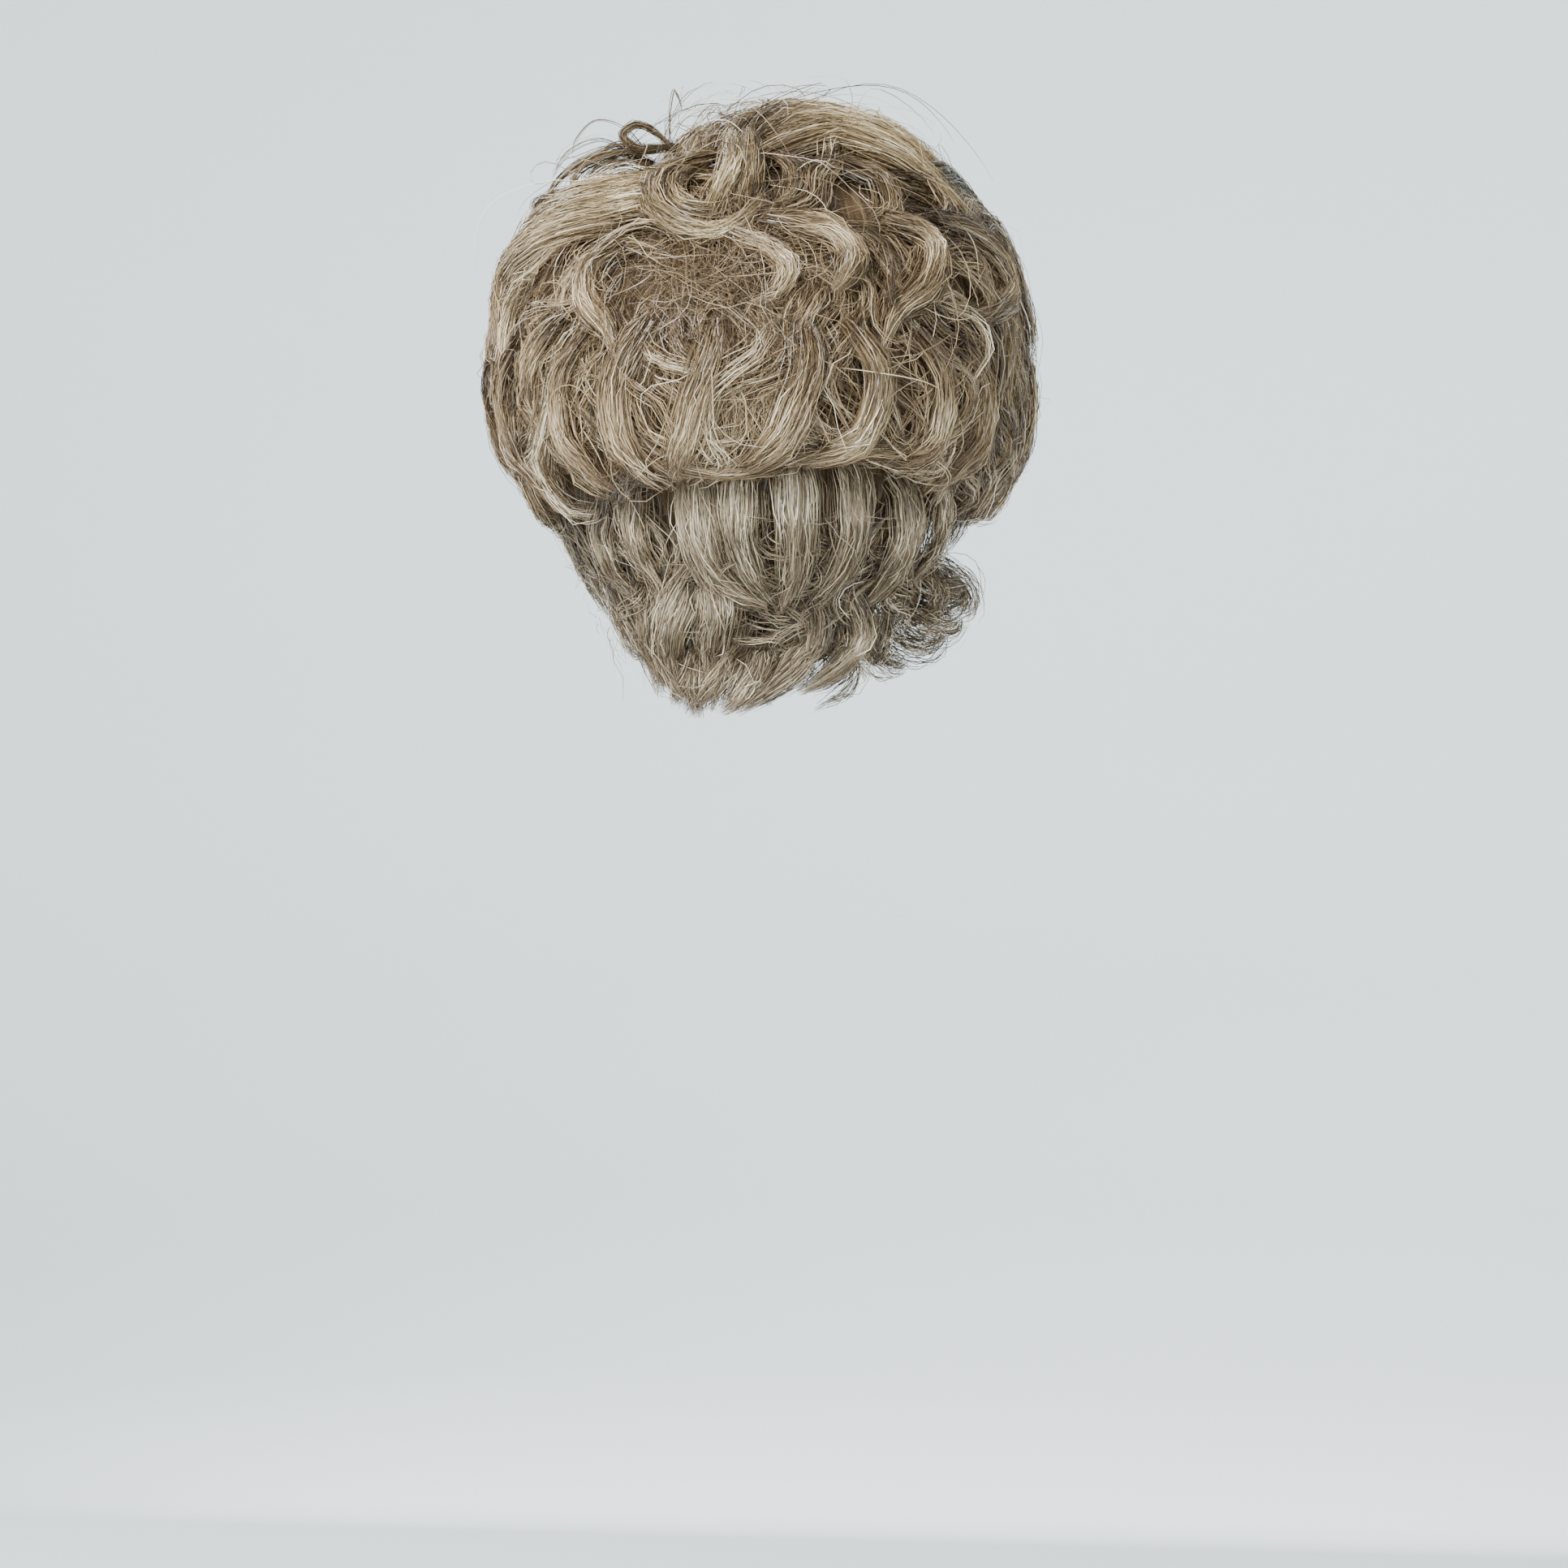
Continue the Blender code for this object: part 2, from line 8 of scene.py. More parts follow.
import bpy
import numpy as np
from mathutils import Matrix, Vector


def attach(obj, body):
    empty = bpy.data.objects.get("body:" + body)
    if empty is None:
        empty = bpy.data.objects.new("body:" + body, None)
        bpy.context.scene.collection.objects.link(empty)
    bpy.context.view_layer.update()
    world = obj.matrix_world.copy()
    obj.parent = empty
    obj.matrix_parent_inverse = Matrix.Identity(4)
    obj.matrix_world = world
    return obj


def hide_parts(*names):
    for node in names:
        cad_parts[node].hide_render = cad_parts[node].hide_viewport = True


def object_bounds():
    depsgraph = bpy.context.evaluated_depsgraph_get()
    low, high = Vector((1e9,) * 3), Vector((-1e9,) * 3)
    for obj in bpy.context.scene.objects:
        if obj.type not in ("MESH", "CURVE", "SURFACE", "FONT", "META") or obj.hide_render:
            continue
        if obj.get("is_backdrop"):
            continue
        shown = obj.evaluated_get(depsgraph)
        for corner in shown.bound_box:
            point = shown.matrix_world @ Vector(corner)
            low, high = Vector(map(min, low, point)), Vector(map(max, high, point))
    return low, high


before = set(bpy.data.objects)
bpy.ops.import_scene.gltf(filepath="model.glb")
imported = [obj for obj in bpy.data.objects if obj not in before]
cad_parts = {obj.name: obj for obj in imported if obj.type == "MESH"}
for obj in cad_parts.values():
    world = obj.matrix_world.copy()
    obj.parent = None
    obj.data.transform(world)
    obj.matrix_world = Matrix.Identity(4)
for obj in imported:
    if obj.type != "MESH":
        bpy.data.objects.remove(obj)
cad_low, cad_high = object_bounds()

# The camera. It looks level at the back of the wig, a little from the wearer's right, from 2 m away. The wig
# is in the upper middle of a square frame that is 0.64 m wide where the wig hangs.
VIEW_TURN = math.radians(190.0)
VIEW_DISTANCE = 2.0
FRAME_WIDTH = 1932 * 0.00033
SENSOR_WIDTH = 36.0
AIM_DROP = -0.236
AIM_RIGHT = 0.0092
back_of_view = Vector((math.sin(VIEW_TURN), -math.cos(VIEW_TURN), 0.0))
right_of_view = Vector((math.cos(VIEW_TURN), math.sin(VIEW_TURN), 0.0))
aim = Vector((0.0, 0.0, AIM_DROP)) + right_of_view * AIM_RIGHT
lens = bpy.data.cameras.new("camera")
lens.sensor_width = SENSOR_WIDTH
lens.lens = SENSOR_WIDTH * VIEW_DISTANCE / FRAME_WIDTH
lens.clip_start = 0.05
lens.clip_end = 50.0
camera = bpy.data.objects.new("camera", lens)
bpy.context.scene.collection.objects.link(camera)
camera.location = aim + back_of_view * VIEW_DISTANCE
camera.rotation_mode = "QUATERNION"
camera.rotation_quaternion = (-back_of_view).to_track_quat("-Z", "Y")
bpy.context.scene.camera = camera

# The cap: a stretch net of fine nylon, shaped to the head, that the rows of hair are sewn to. The packed
# model's shell stays, and gets the net's holes and its soft, matt, slightly uneven yarn.
HEAD_HALF_WIDTH = 0.075
HEAD_BACK_DEPTH = 0.095
HEAD_FRONT_DEPTH = 0.093
CROWN_HEIGHT = 0.095
DEGREE = math.radians(CROWN_HEIGHT)
TAPER_DROP = (0.00, 0.26, 0.58, 0.90, 1.40)
TAPER_SIDE = (1.00, 0.96, 0.81, 0.68, 0.63)
TAPER_BACK = (1.00, 0.95, 0.80, 0.67, 0.62)
TAPER_FRONT = (1.00, 0.97, 0.90, 0.82, 0.78)
NET_HOLE = 0.0012


def linear(code):
    """An sRGB hex colour as linear red, green, blue and alpha."""
    shares = [int(code[i:i + 2], 16) / 255 for i in (1, 3, 5)]
    return (*[c / 12.92 if c <= 0.04045 else ((c + 0.055) / 1.055) ** 2.4 for c in shares], 1.0)


def add_node(tree, kind, settings, inputs):
    """Add a node with its settings, and with a value or a link for each named input."""
    made = tree.nodes.new(kind)
    for key, value in settings.items():
        if key == "stops":
            while len(made.color_ramp.elements) < len(value):
                made.color_ramp.elements.new(0.5)
            for stop, (place, colour) in zip(made.color_ramp.elements, value):
                stop.position = place
                stop.color = linear(colour)
        else:
            setattr(made, key, value)
    for key, value in inputs.items():
        if isinstance(value, bpy.types.NodeSocket):
            tree.links.new(value, made.inputs[key])
        else:
            made.inputs[key].default_value = value
    return made


def new_material(name):
    """An empty node material and its shader."""
    material = bpy.data.materials.new(name)
    material.use_nodes = True
    return material, material.node_tree, material.node_tree.nodes["Principled BSDF"]


def unit(vectors):
    return vectors / np.maximum(np.linalg.norm(vectors, axis=-1, keepdims=True), 1e-9)


def head_point(turn, fall):
    """Points of the head at each turn and fall."""
    turn, fall = np.broadcast_arrays(np.asarray(turn, float), np.asarray(fall, float))
    ahead = np.cos(np.radians(turn))
    aside = np.sin(np.radians(turn))
    dome = np.radians(np.clip(fall, 0.0, 90.0))
    drop = np.maximum(fall - 90.0, 0.0) * DEGREE
    at = drop / CROWN_HEIGHT
    to_back = np.interp(at, TAPER_DROP, TAPER_BACK)
    to_front = np.interp(at, TAPER_DROP, TAPER_FRONT)
    lengthwise = np.where(ahead > 0, to_back, to_front)
    reach = np.sin(dome) * (aside ** 2 * np.interp(at, TAPER_DROP, TAPER_SIDE) + ahead ** 2 * lengthwise)
    depth = np.where(ahead > 0, HEAD_BACK_DEPTH, HEAD_FRONT_DEPTH)
    down = -CROWN_HEIGHT * (1 - np.cos(dome)) - drop
    return np.stack((-HEAD_HALF_WIDTH * aside * reach, depth * ahead * reach, down), axis=-1)


def head_normal(turn, fall):
    """Directions straight out of the head."""
    fall = np.maximum(fall, 1.5)
    round_it = head_point(turn + 1.0, fall) - head_point(turn - 1.0, fall)
    down_it = head_point(turn, fall + 1.0) - head_point(turn, fall - 1.0)
    return -unit(np.cross(round_it, down_it))


def head_place(points):
    """The turn and fall that points lie over."""
    depth = np.where(points[..., 1] > 0, HEAD_BACK_DEPTH, HEAD_FRONT_DEPTH)
    aside = -points[..., 0] / HEAD_HALF_WIDTH
    ahead = points[..., 1] / depth
    above = 1 + points[..., 2] / CROWN_HEIGHT
    dome = np.degrees(np.arctan2(np.hypot(aside, ahead), np.maximum(above, 0.0)))
    fall = np.where(above < 0, 90.0 - above * CROWN_HEIGHT / DEGREE, dome)
    return np.degrees(np.arctan2(aside, ahead)), fall


def link_piece(name, data, material, nodes=()):
    """Link a mesh as a piece of the wig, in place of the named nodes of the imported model."""
    piece = bpy.data.objects.new(name, data)
    data.materials.append(material)
    bpy.context.scene.collection.objects.link(piece)
    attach(piece, "root")
    if nodes:
        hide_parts(*nodes)
    return piece


def grid_mesh(name, points, closed):
    """A sheet of quads through a grid of points, with the grid as its UV map."""
    rows, columns = points.shape[:2]
    mesh = bpy.data.meshes.new(name)
    faces = []
    places = []
    for i in range(rows if closed else rows - 1):
        for j in range(columns - 1):
            corners = ((i, j), (i + 1, j), (i + 1, j + 1), (i, j + 1))
            faces.append([(a % rows) * columns + b for a, b in corners])
            places.extend((a / rows, b / (columns - 1)) for a, b in corners)
    mesh.from_pydata(points.reshape(-1, 3).tolist(), [], faces)
    for label in ("strand", "OFBake"):
        mesh.uv_layers.new(name=label).data.foreach_set("uv", np.array(places).ravel())
    mesh.uv_layers["strand"].active_render = True
    mesh.shade_smooth()
    return mesh


cap_net, tree, shader = new_material("nylon_stretch_net")
place = add_node(tree, "ShaderNodeTexCoord", {}, {}).outputs["Object"]
holes = add_node(tree, "ShaderNodeTexVoronoi", {}, {"Vector": place, "Scale": 1 / NET_HOLE})
yarn = add_node(tree, "ShaderNodeTexNoise", {}, {"Vector": place, "Scale": 90.0, "Detail": 3.0})
net = add_node(
    tree, "ShaderNodeValToRGB",
    {"stops": ((0.12, "#4a3a2c"), (0.34, "#94806a"), (0.70, "#b09c84"))}, {"Fac": holes.outputs["Distance"]},
)
uneven = add_node(
    tree, "ShaderNodeMixRGB", {"blend_type": "MULTIPLY"},
    {"Fac": 0.35, "Color1": net.outputs["Color"], "Color2": yarn.outputs["Fac"]},
)
raised = add_node(
    tree, "ShaderNodeBump", {}, {"Height": holes.outputs["Distance"], "Strength": 0.5, "Distance": 0.0004},
)
tree.links.new(uneven.outputs["Color"], shader.inputs["Base Color"])
tree.links.new(raised.outputs["Normal"], shader.inputs["Normal"])
shader.inputs["Roughness"].default_value = 0.82
shader.inputs["IOR"].default_value = 1.53
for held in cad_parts["wig_cap"].material_slots:
    held.material = cap_net

# The binding and the wefts: an elastic tape folded round the cap's rim, drawn as its flat inner face, 8 mm
# wide, and the tracks of stitched thread, 2.7 mm wide, that hold each row of hair. They show on the inside,
# from below and in front.
RIM_TURN = (0.0, 40.0, 66.0, 84.0, 98.0, 112.0, 128.0, 150.0, 180.0)
RIM_FALL = (130.0, 123.0, 106.0, 88.0, 85.0, 97.0, 82.0, 68.0, 65.0)
TAPE_WIDTH = 5.0
TRACK_WIDTH = 1.6
BAND_THICKNESS = 0.0009
THREAD_PITCH = 0.0012


def wrap(turn):
    """The same turn, from -180 to 180."""
    return (np.asarray(turn, float) + 180.0) % 360.0 - 180.0


def rim_fall(turn):
    """Where the cap's rim lies: low at the nape, arched over the ears, high at the forehead."""
    return np.interp(np.abs(wrap(turn)), RIM_TURN, RIM_FALL)


def band_points(turns, top, foot):
    """The outline of a flat band on the inside of the cap, from one fall to another."""
    ring = []
    for fall, lift in ((top, 0.0), (top, -BAND_THICKNESS), (foot, -BAND_THICKNESS), (foot, 0.0)):
        ring.append(head_point(turns, fall) + head_normal(turns, fall) * lift)
    return np.stack(ring + ring[:1], axis=1)


stitched, tree, shader = new_material("stitched_polyester_tape")
place = add_node(tree, "ShaderNodeTexCoord", {}, {}).outputs["Object"]
rib = add_node(
    tree, "ShaderNodeTexWave", {"bands_direction": "DIAGONAL"},
    {"Vector": place, "Scale": 0.314 / THREAD_PITCH, "Distortion": 1.5},
)
thread = add_node(
    tree, "ShaderNodeValToRGB", {"stops": ((0.1, "#7d6955"), (0.6, "#9a856f"), (1.0, "#aa967f"))},
    {"Fac": rib.outputs["Fac"]},
)
tree.links.new(thread.outputs["Color"], shader.inputs["Base Color"])
shader.inputs["Roughness"].default_value = 0.75
shader.inputs["IOR"].default_value = 1.55

turns = np.arange(0.0, 360.0, 3.0)
band = band_points(turns, rim_fall(turns) - TAPE_WIDTH, rim_fall(turns) - 0.4)
link_piece("rim_binding", grid_mesh("rim_binding", band, True), stitched)
for track_number, fall in enumerate(range(14, 116, 12)):
    low = np.minimum(float(fall), rim_fall(turns) - TAPE_WIDTH - 2.5)
    track = grid_mesh(f"weft_track_{track_number}", band_points(turns, low - TRACK_WIDTH, low), True)
    link_piece(f"weft_track_{track_number}", track, stitched)

# The hair mass: crimped fibres that lie close over the cap and give the wig its body. They are seen only as
# dark, fine streaks between the locks, so one streaked sheet lies under all the upper hair and one under the
# nape's. Its colours are darker than the fibres' own, as painted shade for the depths between the locks.
HAIR_DEPTH = 0.043
DEPTH_FALL = (0.0, 20.0, 35.0, 50.0, 65.0, 80.0, 95.0, 108.0)
BACK_DEPTH = (0.80, 0.76, 0.74, 0.72, 0.72, 0.72, 0.68, 0.60)
RIGHT_DEPTH = (0.80, 0.92, 1.02, 1.03, 0.89, 0.80, 0.66, 0.36)
FRONT_DEPTH = (0.80, 0.84, 0.86, 0.80, 0.68, 0.56, 0.46, 0.36)
LEFT_DEPTH = (0.80, 0.86, 1.00, 1.01, 0.87, 0.80, 0.60, 0.30)
NAPE_FALL = (90.0, 110.0, 125.0, 140.0, 160.0)
NAPE_BACK_DEPTH = (0.42, 0.38, 0.32, 0.25, 0.16)
NAPE_RIGHT_DEPTH = (0.38, 0.34, 0.30, 0.24, 0.16)
NAPE_LEFT_DEPTH = (0.34, 0.24, 0.16, 0.13, 0.11)
LAYER_TURN = (-180.0, -60.0, -36.0, -18.0, 4.0, 24.0, 38.0, 50.0, 60.0, 180.0)
LAYER_FALL = (101.0, 101.0, 100.0, 96.0, 92.0, 88.0, 86.0, 92.0, 100.0, 100.0)
FRINGE_TURN = 152.0
FRINGE_FALL = 82.0
FACE_TURN = 110.0
FACE_FALL = 66.0
FACE_THINNING = 0.55
EAR_FALL = 104.0
OVERHANG = 12.0
NAPE_LENGTH = 158.0
NAPE_RISE = 42.0
NAPE_TURN = 84.0
NAPE_CURVE = 3.2
HOLLOWS = (
    # depth in metres, turn, fall, reach in turn, reach in fall: under the loops, on the right shoulder of the
    # crown, at the whorl, and in the waves beside it
    (0.0190, -72.0, 29.0, 62.0, 14.0),
    (0.0055, 98.0, 42.0, 35.0, 12.0),
    (0.0045, 1.0, 61.0, 13.0, 8.0),
    (0.0050, 17.0, 40.0, 9.0, 6.0),
    (0.0060, 39.0, 45.0, 10.0, 6.0),
    (0.0040, -30.0, 68.0, 9.0, 8.0),
    (0.0035, 40.0, 62.0, 7.0, 7.0),
)


def face_share(turn, fall):
    """How far a place lies in the hair that frames the face, from 0 to 1."""
    turned = np.clip((np.abs(wrap(turn)) - FACE_TURN) / (FRINGE_TURN - FACE_TURN), 0.0, 1.0)
    return turned * np.clip((fall - FACE_FALL) / (EAR_FALL - FACE_FALL), 0.0, 1.0)


def hair_depth(turn, fall, nape):
    """Depth of the hair over the head, in metres."""
    ahead = np.cos(np.radians(turn))
    aside = np.sin(np.radians(turn))
    if nape:
        right = np.interp(fall, NAPE_FALL, NAPE_RIGHT_DEPTH)
        sides = np.where(aside > 0, right, np.interp(fall, NAPE_FALL, NAPE_LEFT_DEPTH))
        return HAIR_DEPTH * (ahead ** 2 * np.interp(fall, NAPE_FALL, NAPE_BACK_DEPTH) + aside ** 2 * sides)
    ends = np.where(
        ahead > 0, np.interp(fall, DEPTH_FALL, BACK_DEPTH), np.interp(fall, DEPTH_FALL, FRONT_DEPTH),
    )
    sides = np.where(
        aside > 0, np.interp(fall, DEPTH_FALL, RIGHT_DEPTH), np.interp(fall, DEPTH_FALL, LEFT_DEPTH),
    )
    dents = 0.0
    for dent, dent_turn, dent_fall, turn_reach, fall_reach in HOLLOWS:
        away = (wrap(turn - dent_turn) / turn_reach) ** 2 + ((fall - dent_fall) / fall_reach) ** 2
        dents = dents + dent * np.exp(-away)
    share = (ahead ** 2 * ends + aside ** 2 * sides) * (1 - FACE_THINNING * face_share(turn, fall))
    return HAIR_DEPTH * share - dents


def nape_foot(turn):
    """The nape hair is longest in the middle and rises behind the ears."""
    return NAPE_LENGTH - NAPE_RISE * np.clip(np.abs(wrap(turn)) / NAPE_TURN, 0.0, 1.0) ** NAPE_CURVE


def layer_foot(turn):
    """Where the upper hair ends, and the fringe ends higher."""
    turned = wrap(turn)
    fringe = np.clip((np.abs(turned) - FRINGE_TURN + 14.0) / 14.0, 0.0, 1.0)
    return np.interp(turned, LAYER_TURN, LAYER_FALL) * (1 - fringe) + FRINGE_FALL * fringe


underlayer, tree, shader = new_material("underlayer_fibre_in_painted_shade")
place = add_node(tree, "ShaderNodeUVMap", {"uv_map": "strand"}, {}).outputs["UV"]
combed = add_node(tree, "ShaderNodeMapping", {}, {"Vector": place, "Scale": (260.0, 7.0, 1.0)})
streak = add_node(
    tree, "ShaderNodeTexNoise", {}, {"Vector": combed.outputs["Vector"], "Scale": 1.0, "Detail": 5.0},
)
# Painted shade: the streaks run darker than the fibres above, for the shade that falls between the locks.
painted_shade_streaks = add_node(
    tree, "ShaderNodeValToRGB", {"stops": ((0.30, "#362a1c"), (0.52, "#5a4834"), (0.75, "#88755c"))},
    {"Fac": streak.outputs["Fac"]},
)
tree.links.new(painted_shade_streaks.outputs["Color"], shader.inputs["Base Color"])
shader.inputs["Roughness"].default_value = 0.88
shader.inputs["Specular IOR Level"].default_value = 0.15
shader.inputs["IOR"].default_value = 1.52


def mass_sheet(name, first_turn, last_turn, top, foot_of, share, nape):
    """A streaked sheet in painted shade under the fibres. At its foot the upper one rolls in, and the nape's
    thins.
    """
    sheet_turns = np.arange(first_turn, last_turn + 0.1, 4.0)
    down = np.linspace(0.0, 1.0, 15)[None, :]
    foot = foot_of(sheet_turns)[:, None]
    falls = top + (foot - top) * down
    across = np.broadcast_to(sheet_turns[:, None], falls.shape)
    lifts = hair_depth(across, falls, nape) * share
    if nape:
        lifts = np.maximum(lifts * np.interp(down, (0.6, 1.0), (1.0, 0.3)), 0.002)
    else:
        rolled = np.array((0.75, 0.35, 0.08))[None, :] * lifts[:, -1:]
        falls = np.concatenate((falls, foot + np.array((1.5, 1.0, -2.0))[None, :]), axis=1)
        lifts = np.concatenate((lifts, np.maximum(rolled, 0.0025)), axis=1)
        falls = falls + OVERHANG * lifts / HAIR_DEPTH * np.clip((falls - top) / (foot - top), 0.0, 1.0)
    across = np.broadcast_to(sheet_turns[:, None], falls.shape)
    points = head_point(across, falls) + head_normal(across, falls) * lifts[..., None]
    return link_piece(name, grid_mesh(name, points, False), underlayer)


mass_sheet("upper_mass", -180.0, 180.0, 0.5, lambda turn: layer_foot(turn) - 7.0, 0.84, False)
mass_sheet("nape_mass", -NAPE_TURN, NAPE_TURN, 84.0, lambda turn: nape_foot(turn) - 9.0, 0.70, True)

# The fibres: modacrylic, crimped and heat set into locks, with a satin sheen, and with highlights painted
# into their tones along the locks. Each fibre is a narrow ribbon, drawn 0.2 to 0.4 mm wide, coarser than the
# real
# 0.08 mm, so that single fibres show.
WHORL = head_point(2.0, 60.0)
ROLL_RADIUS = 0.011
# A faint highlight painted midway along single fibres: where, how strong and how long.
FAINT_PAINTED_HIGHLIGHT = np.array((0.5, 0.1, 0.2))
FREE_TIPS = 9.0
STRAY_REACH = 0.008
PATH_SAMPLES = 40
rng = np.random.default_rng(1917)


def spline(corners, samples):
    """Points of a smooth curve through the corners."""
    held = np.concatenate((2 * corners[:1] - corners[1:2], corners, 2 * corners[-1:] - corners[-2:-1]))
    at = np.linspace(0.0, len(corners) - 1.0001, samples)
    stretch = at.astype(int)
    part = (at - stretch)[:, None]
    a, b, c, d = (held[stretch + i] for i in range(4))
    squared = (2 * a - 5 * b + 4 * c - d) * part ** 2
    cubed = (3 * b - a - 3 * c + d) * part ** 3
    return 0.5 * (2 * b + (c - a) * part + squared + cubed)


def smooth_path(places):
    """A smooth path over the head through a flat row of turns and falls."""
    row = np.array(places, float).reshape(-1, 2)
    return head_place(spline(head_point(row[:, 0], row[:, 1]), PATH_SAMPLES))


def combed_paths(turn, fall, length, swing, period, sway, samples=20):
    """Paths from many roots, that run away from the whorl, then down, in waves that lie in step."""
    points = head_point(turn, fall)
    phase = 2 * math.pi * (turn / 47.0 + fall / 70.0) + rng.normal(0.0, 0.7, len(turn))
    pace = length / (samples - 1)
    turns = []
    falls = []
    for step in range(samples):
        here_turn, here_fall = head_place(points)
        points = head_point(here_turn, here_fall)
        turns.append(here_turn)
        falls.append(here_fall)
        out = head_normal(here_turn, here_fall)
        low = np.clip((here_fall - 52.0) / 36.0, 0.0, 1.0)[:, None]
        ahead = unit(points - WHORL) * (1 - low) + np.array((0.0, 0.0, -1.0)) * (low + 0.15)
        ahead = unit(ahead - out * np.sum(ahead * out, axis=1, keepdims=True))
        curl = swing * (0.7 + 0.6 * step / samples)
        angle = (curl * np.sin(2 * math.pi * step * pace / period + phase) + sway)[:, None]
        ahead = ahead * np.cos(angle) + np.cross(out, ahead) * np.sin(angle)
        points = points + ahead * pace[:, None]
    return np.stack(turns, axis=1), np.stack(falls, axis=1)


def end_at_foot(turns, falls, foot):
    """Shorten each path to where it reaches the foot of its section."""
    samples = turns.shape[1]
    for row in range(len(turns)):
        past = np.nonzero(falls[row] > foot[row] + rng.normal(0.0, 2.5))[0]
        if len(past) and past[0] > 1:
            at = np.linspace(0.0, past[0], samples)
            turns[row] = np.interp(at, np.arange(samples), np.unwrap(turns[row], period=360.0))
            falls[row] = np.interp(at, np.arange(samples), falls[row])
    return turns, falls


def lay_paths(turns, falls, rise, nape):
    """Lift paths on to the hair's surface. Free tips end at the section's foot, and the rest roll under."""
    rise = np.broadcast_to(rise, turns.shape)
    fringed = np.abs(wrap(turns[:, -1])) > FRINGE_TURN - 12.0
    if nape:
        turns, falls = end_at_foot(turns, falls, nape_foot(turns))
        foot = nape_foot(turns)
        lifts = hair_depth(turns, np.minimum(falls, foot), nape) + rise
    else:
        if fringed.any():
            ends = layer_foot(turns[fringed]) + FREE_TIPS
            turns[fringed], falls[fringed] = end_at_foot(turns[fringed], falls[fringed], ends)
        lifts = hair_depth(turns, np.minimum(falls, layer_foot(turns)), nape) + rise
        foot = layer_foot(turns) + OVERHANG * lifts / HAIR_DEPTH - ROLL_RADIUS / DEGREE
        past = np.maximum(falls - foot, 0.0) * DEGREE * ~fringed[:, None]
        angle = np.minimum(past / ROLL_RADIUS, 2.6)
        falls = np.where(past > 0, foot + ROLL_RADIUS * np.sin(angle) / DEGREE, falls)
        lifts = np.where(past > 0, np.maximum(lifts - ROLL_RADIUS * (1 - np.cos(angle)), 0.004), lifts)
    out = head_normal(turns, falls)
    return head_point(turns, falls) + out * lifts[..., None], out


def fibres(points, out, count, breadth, arch, tone, painted_highlight, spread=0.18, kink=0.0006, fray=0.24, width=0.00031,
           segments=8):
    """Ribbons side by side over each of several paths, in an arched sheet: their points and their tones."""
    guides, samples = points.shape[:2]
    ahead = unit(np.gradient(points, axis=1))
    side = unit(np.cross(ahead, out))
    over = np.cross(side, ahead)
    per = (guides, count, 1)
    across = np.clip(rng.normal(0.0, 0.52, per), -1.3, 1.3)
    crossing = rng.normal(0.0, 0.26, per)
    sunk = rng.exponential(0.0012, per)
    start = rng.uniform(0.0, fray, per) ** 1.3
    end = 1.0 - rng.uniform(0.0, fray, per) ** 1.2
    local = np.linspace(0.0, 1.0, segments + 1)[None, None, :]
    along = start + (end - start) * local
    low = np.minimum((along * (samples - 1)).astype(int), samples - 2)
    part = (along * (samples - 1) - low)[..., None]
    g = np.arange(guides)[:, None, None]
    fields = (field[g, low] * (1 - part) + field[g, low + 1] * part for field in (points, side, over))
    middle, sideways, upward = fields
    breadth = np.broadcast_to(np.reshape(breadth, (-1, 1, 1)), (guides, 1, 1))
    arch = np.broadcast_to(np.reshape(arch, (-1, 1, 1)), (guides, 1, 1))
    full = np.interp(along, (0.0, 0.25, 0.65, 1.0), (0.60, 1.0, 0.88, 0.22))
    rate = rng.uniform(0.8, 3.2, per)
    phases = rng.uniform(0.0, 2 * math.pi, (2, *per))
    stray = kink * rng.gamma(1.3, 0.9, per)
    across = across + crossing * (along - 0.4)
    aside = across * full * breadth / 2 + stray * np.sin(2 * math.pi * rate * along + phases[0])
    above = (1 - across ** 2) * full * arch - sunk + stray * np.sin(2 * math.pi * rate * along + phases[1])
    centre = middle + sideways * aside[..., None] + upward * above[..., None]
    roll = rng.uniform(0.0, math.pi, per)[..., None]
    flat = sideways * np.cos(roll) + upward * np.sin(roll)
    half = width * rng.uniform(0.35, 0.65, per) * np.interp(local, (0.0, 0.75, 1.0), (1.0, 1.0, 0.3))
    edges = np.stack((centre - flat * half[..., None], centre + flat * half[..., None]), axis=3)
    painted_highlight = np.broadcast_to(np.reshape(painted_highlight, (-1, 1, 3)), (guides, 1, 3))
    # Painted highlight: a bright band added to the tone at a place along each lock.
    painted_shine = painted_highlight[..., 1:2] * np.exp(-((along - painted_highlight[..., 0:1]) / painted_highlight[..., 2:3]) ** 2)
    # Painted shade: fibres sunk into a lock and those near its edges are darkened, for the shade inside and
    # between locks.
    tone_with_painted_shade = np.reshape(tone, (-1, 1, 1)) + rng.normal(0.0, spread, per) - 80.0 * sunk - 0.12 * across ** 2
    tones = tone_with_painted_shade + painted_shine * rng.uniform(0.4, 1.0, per)
    return edges.reshape(-1, segments + 1, 2, 3), np.clip(tones, 0.01, 0.985).reshape(-1, segments + 1)


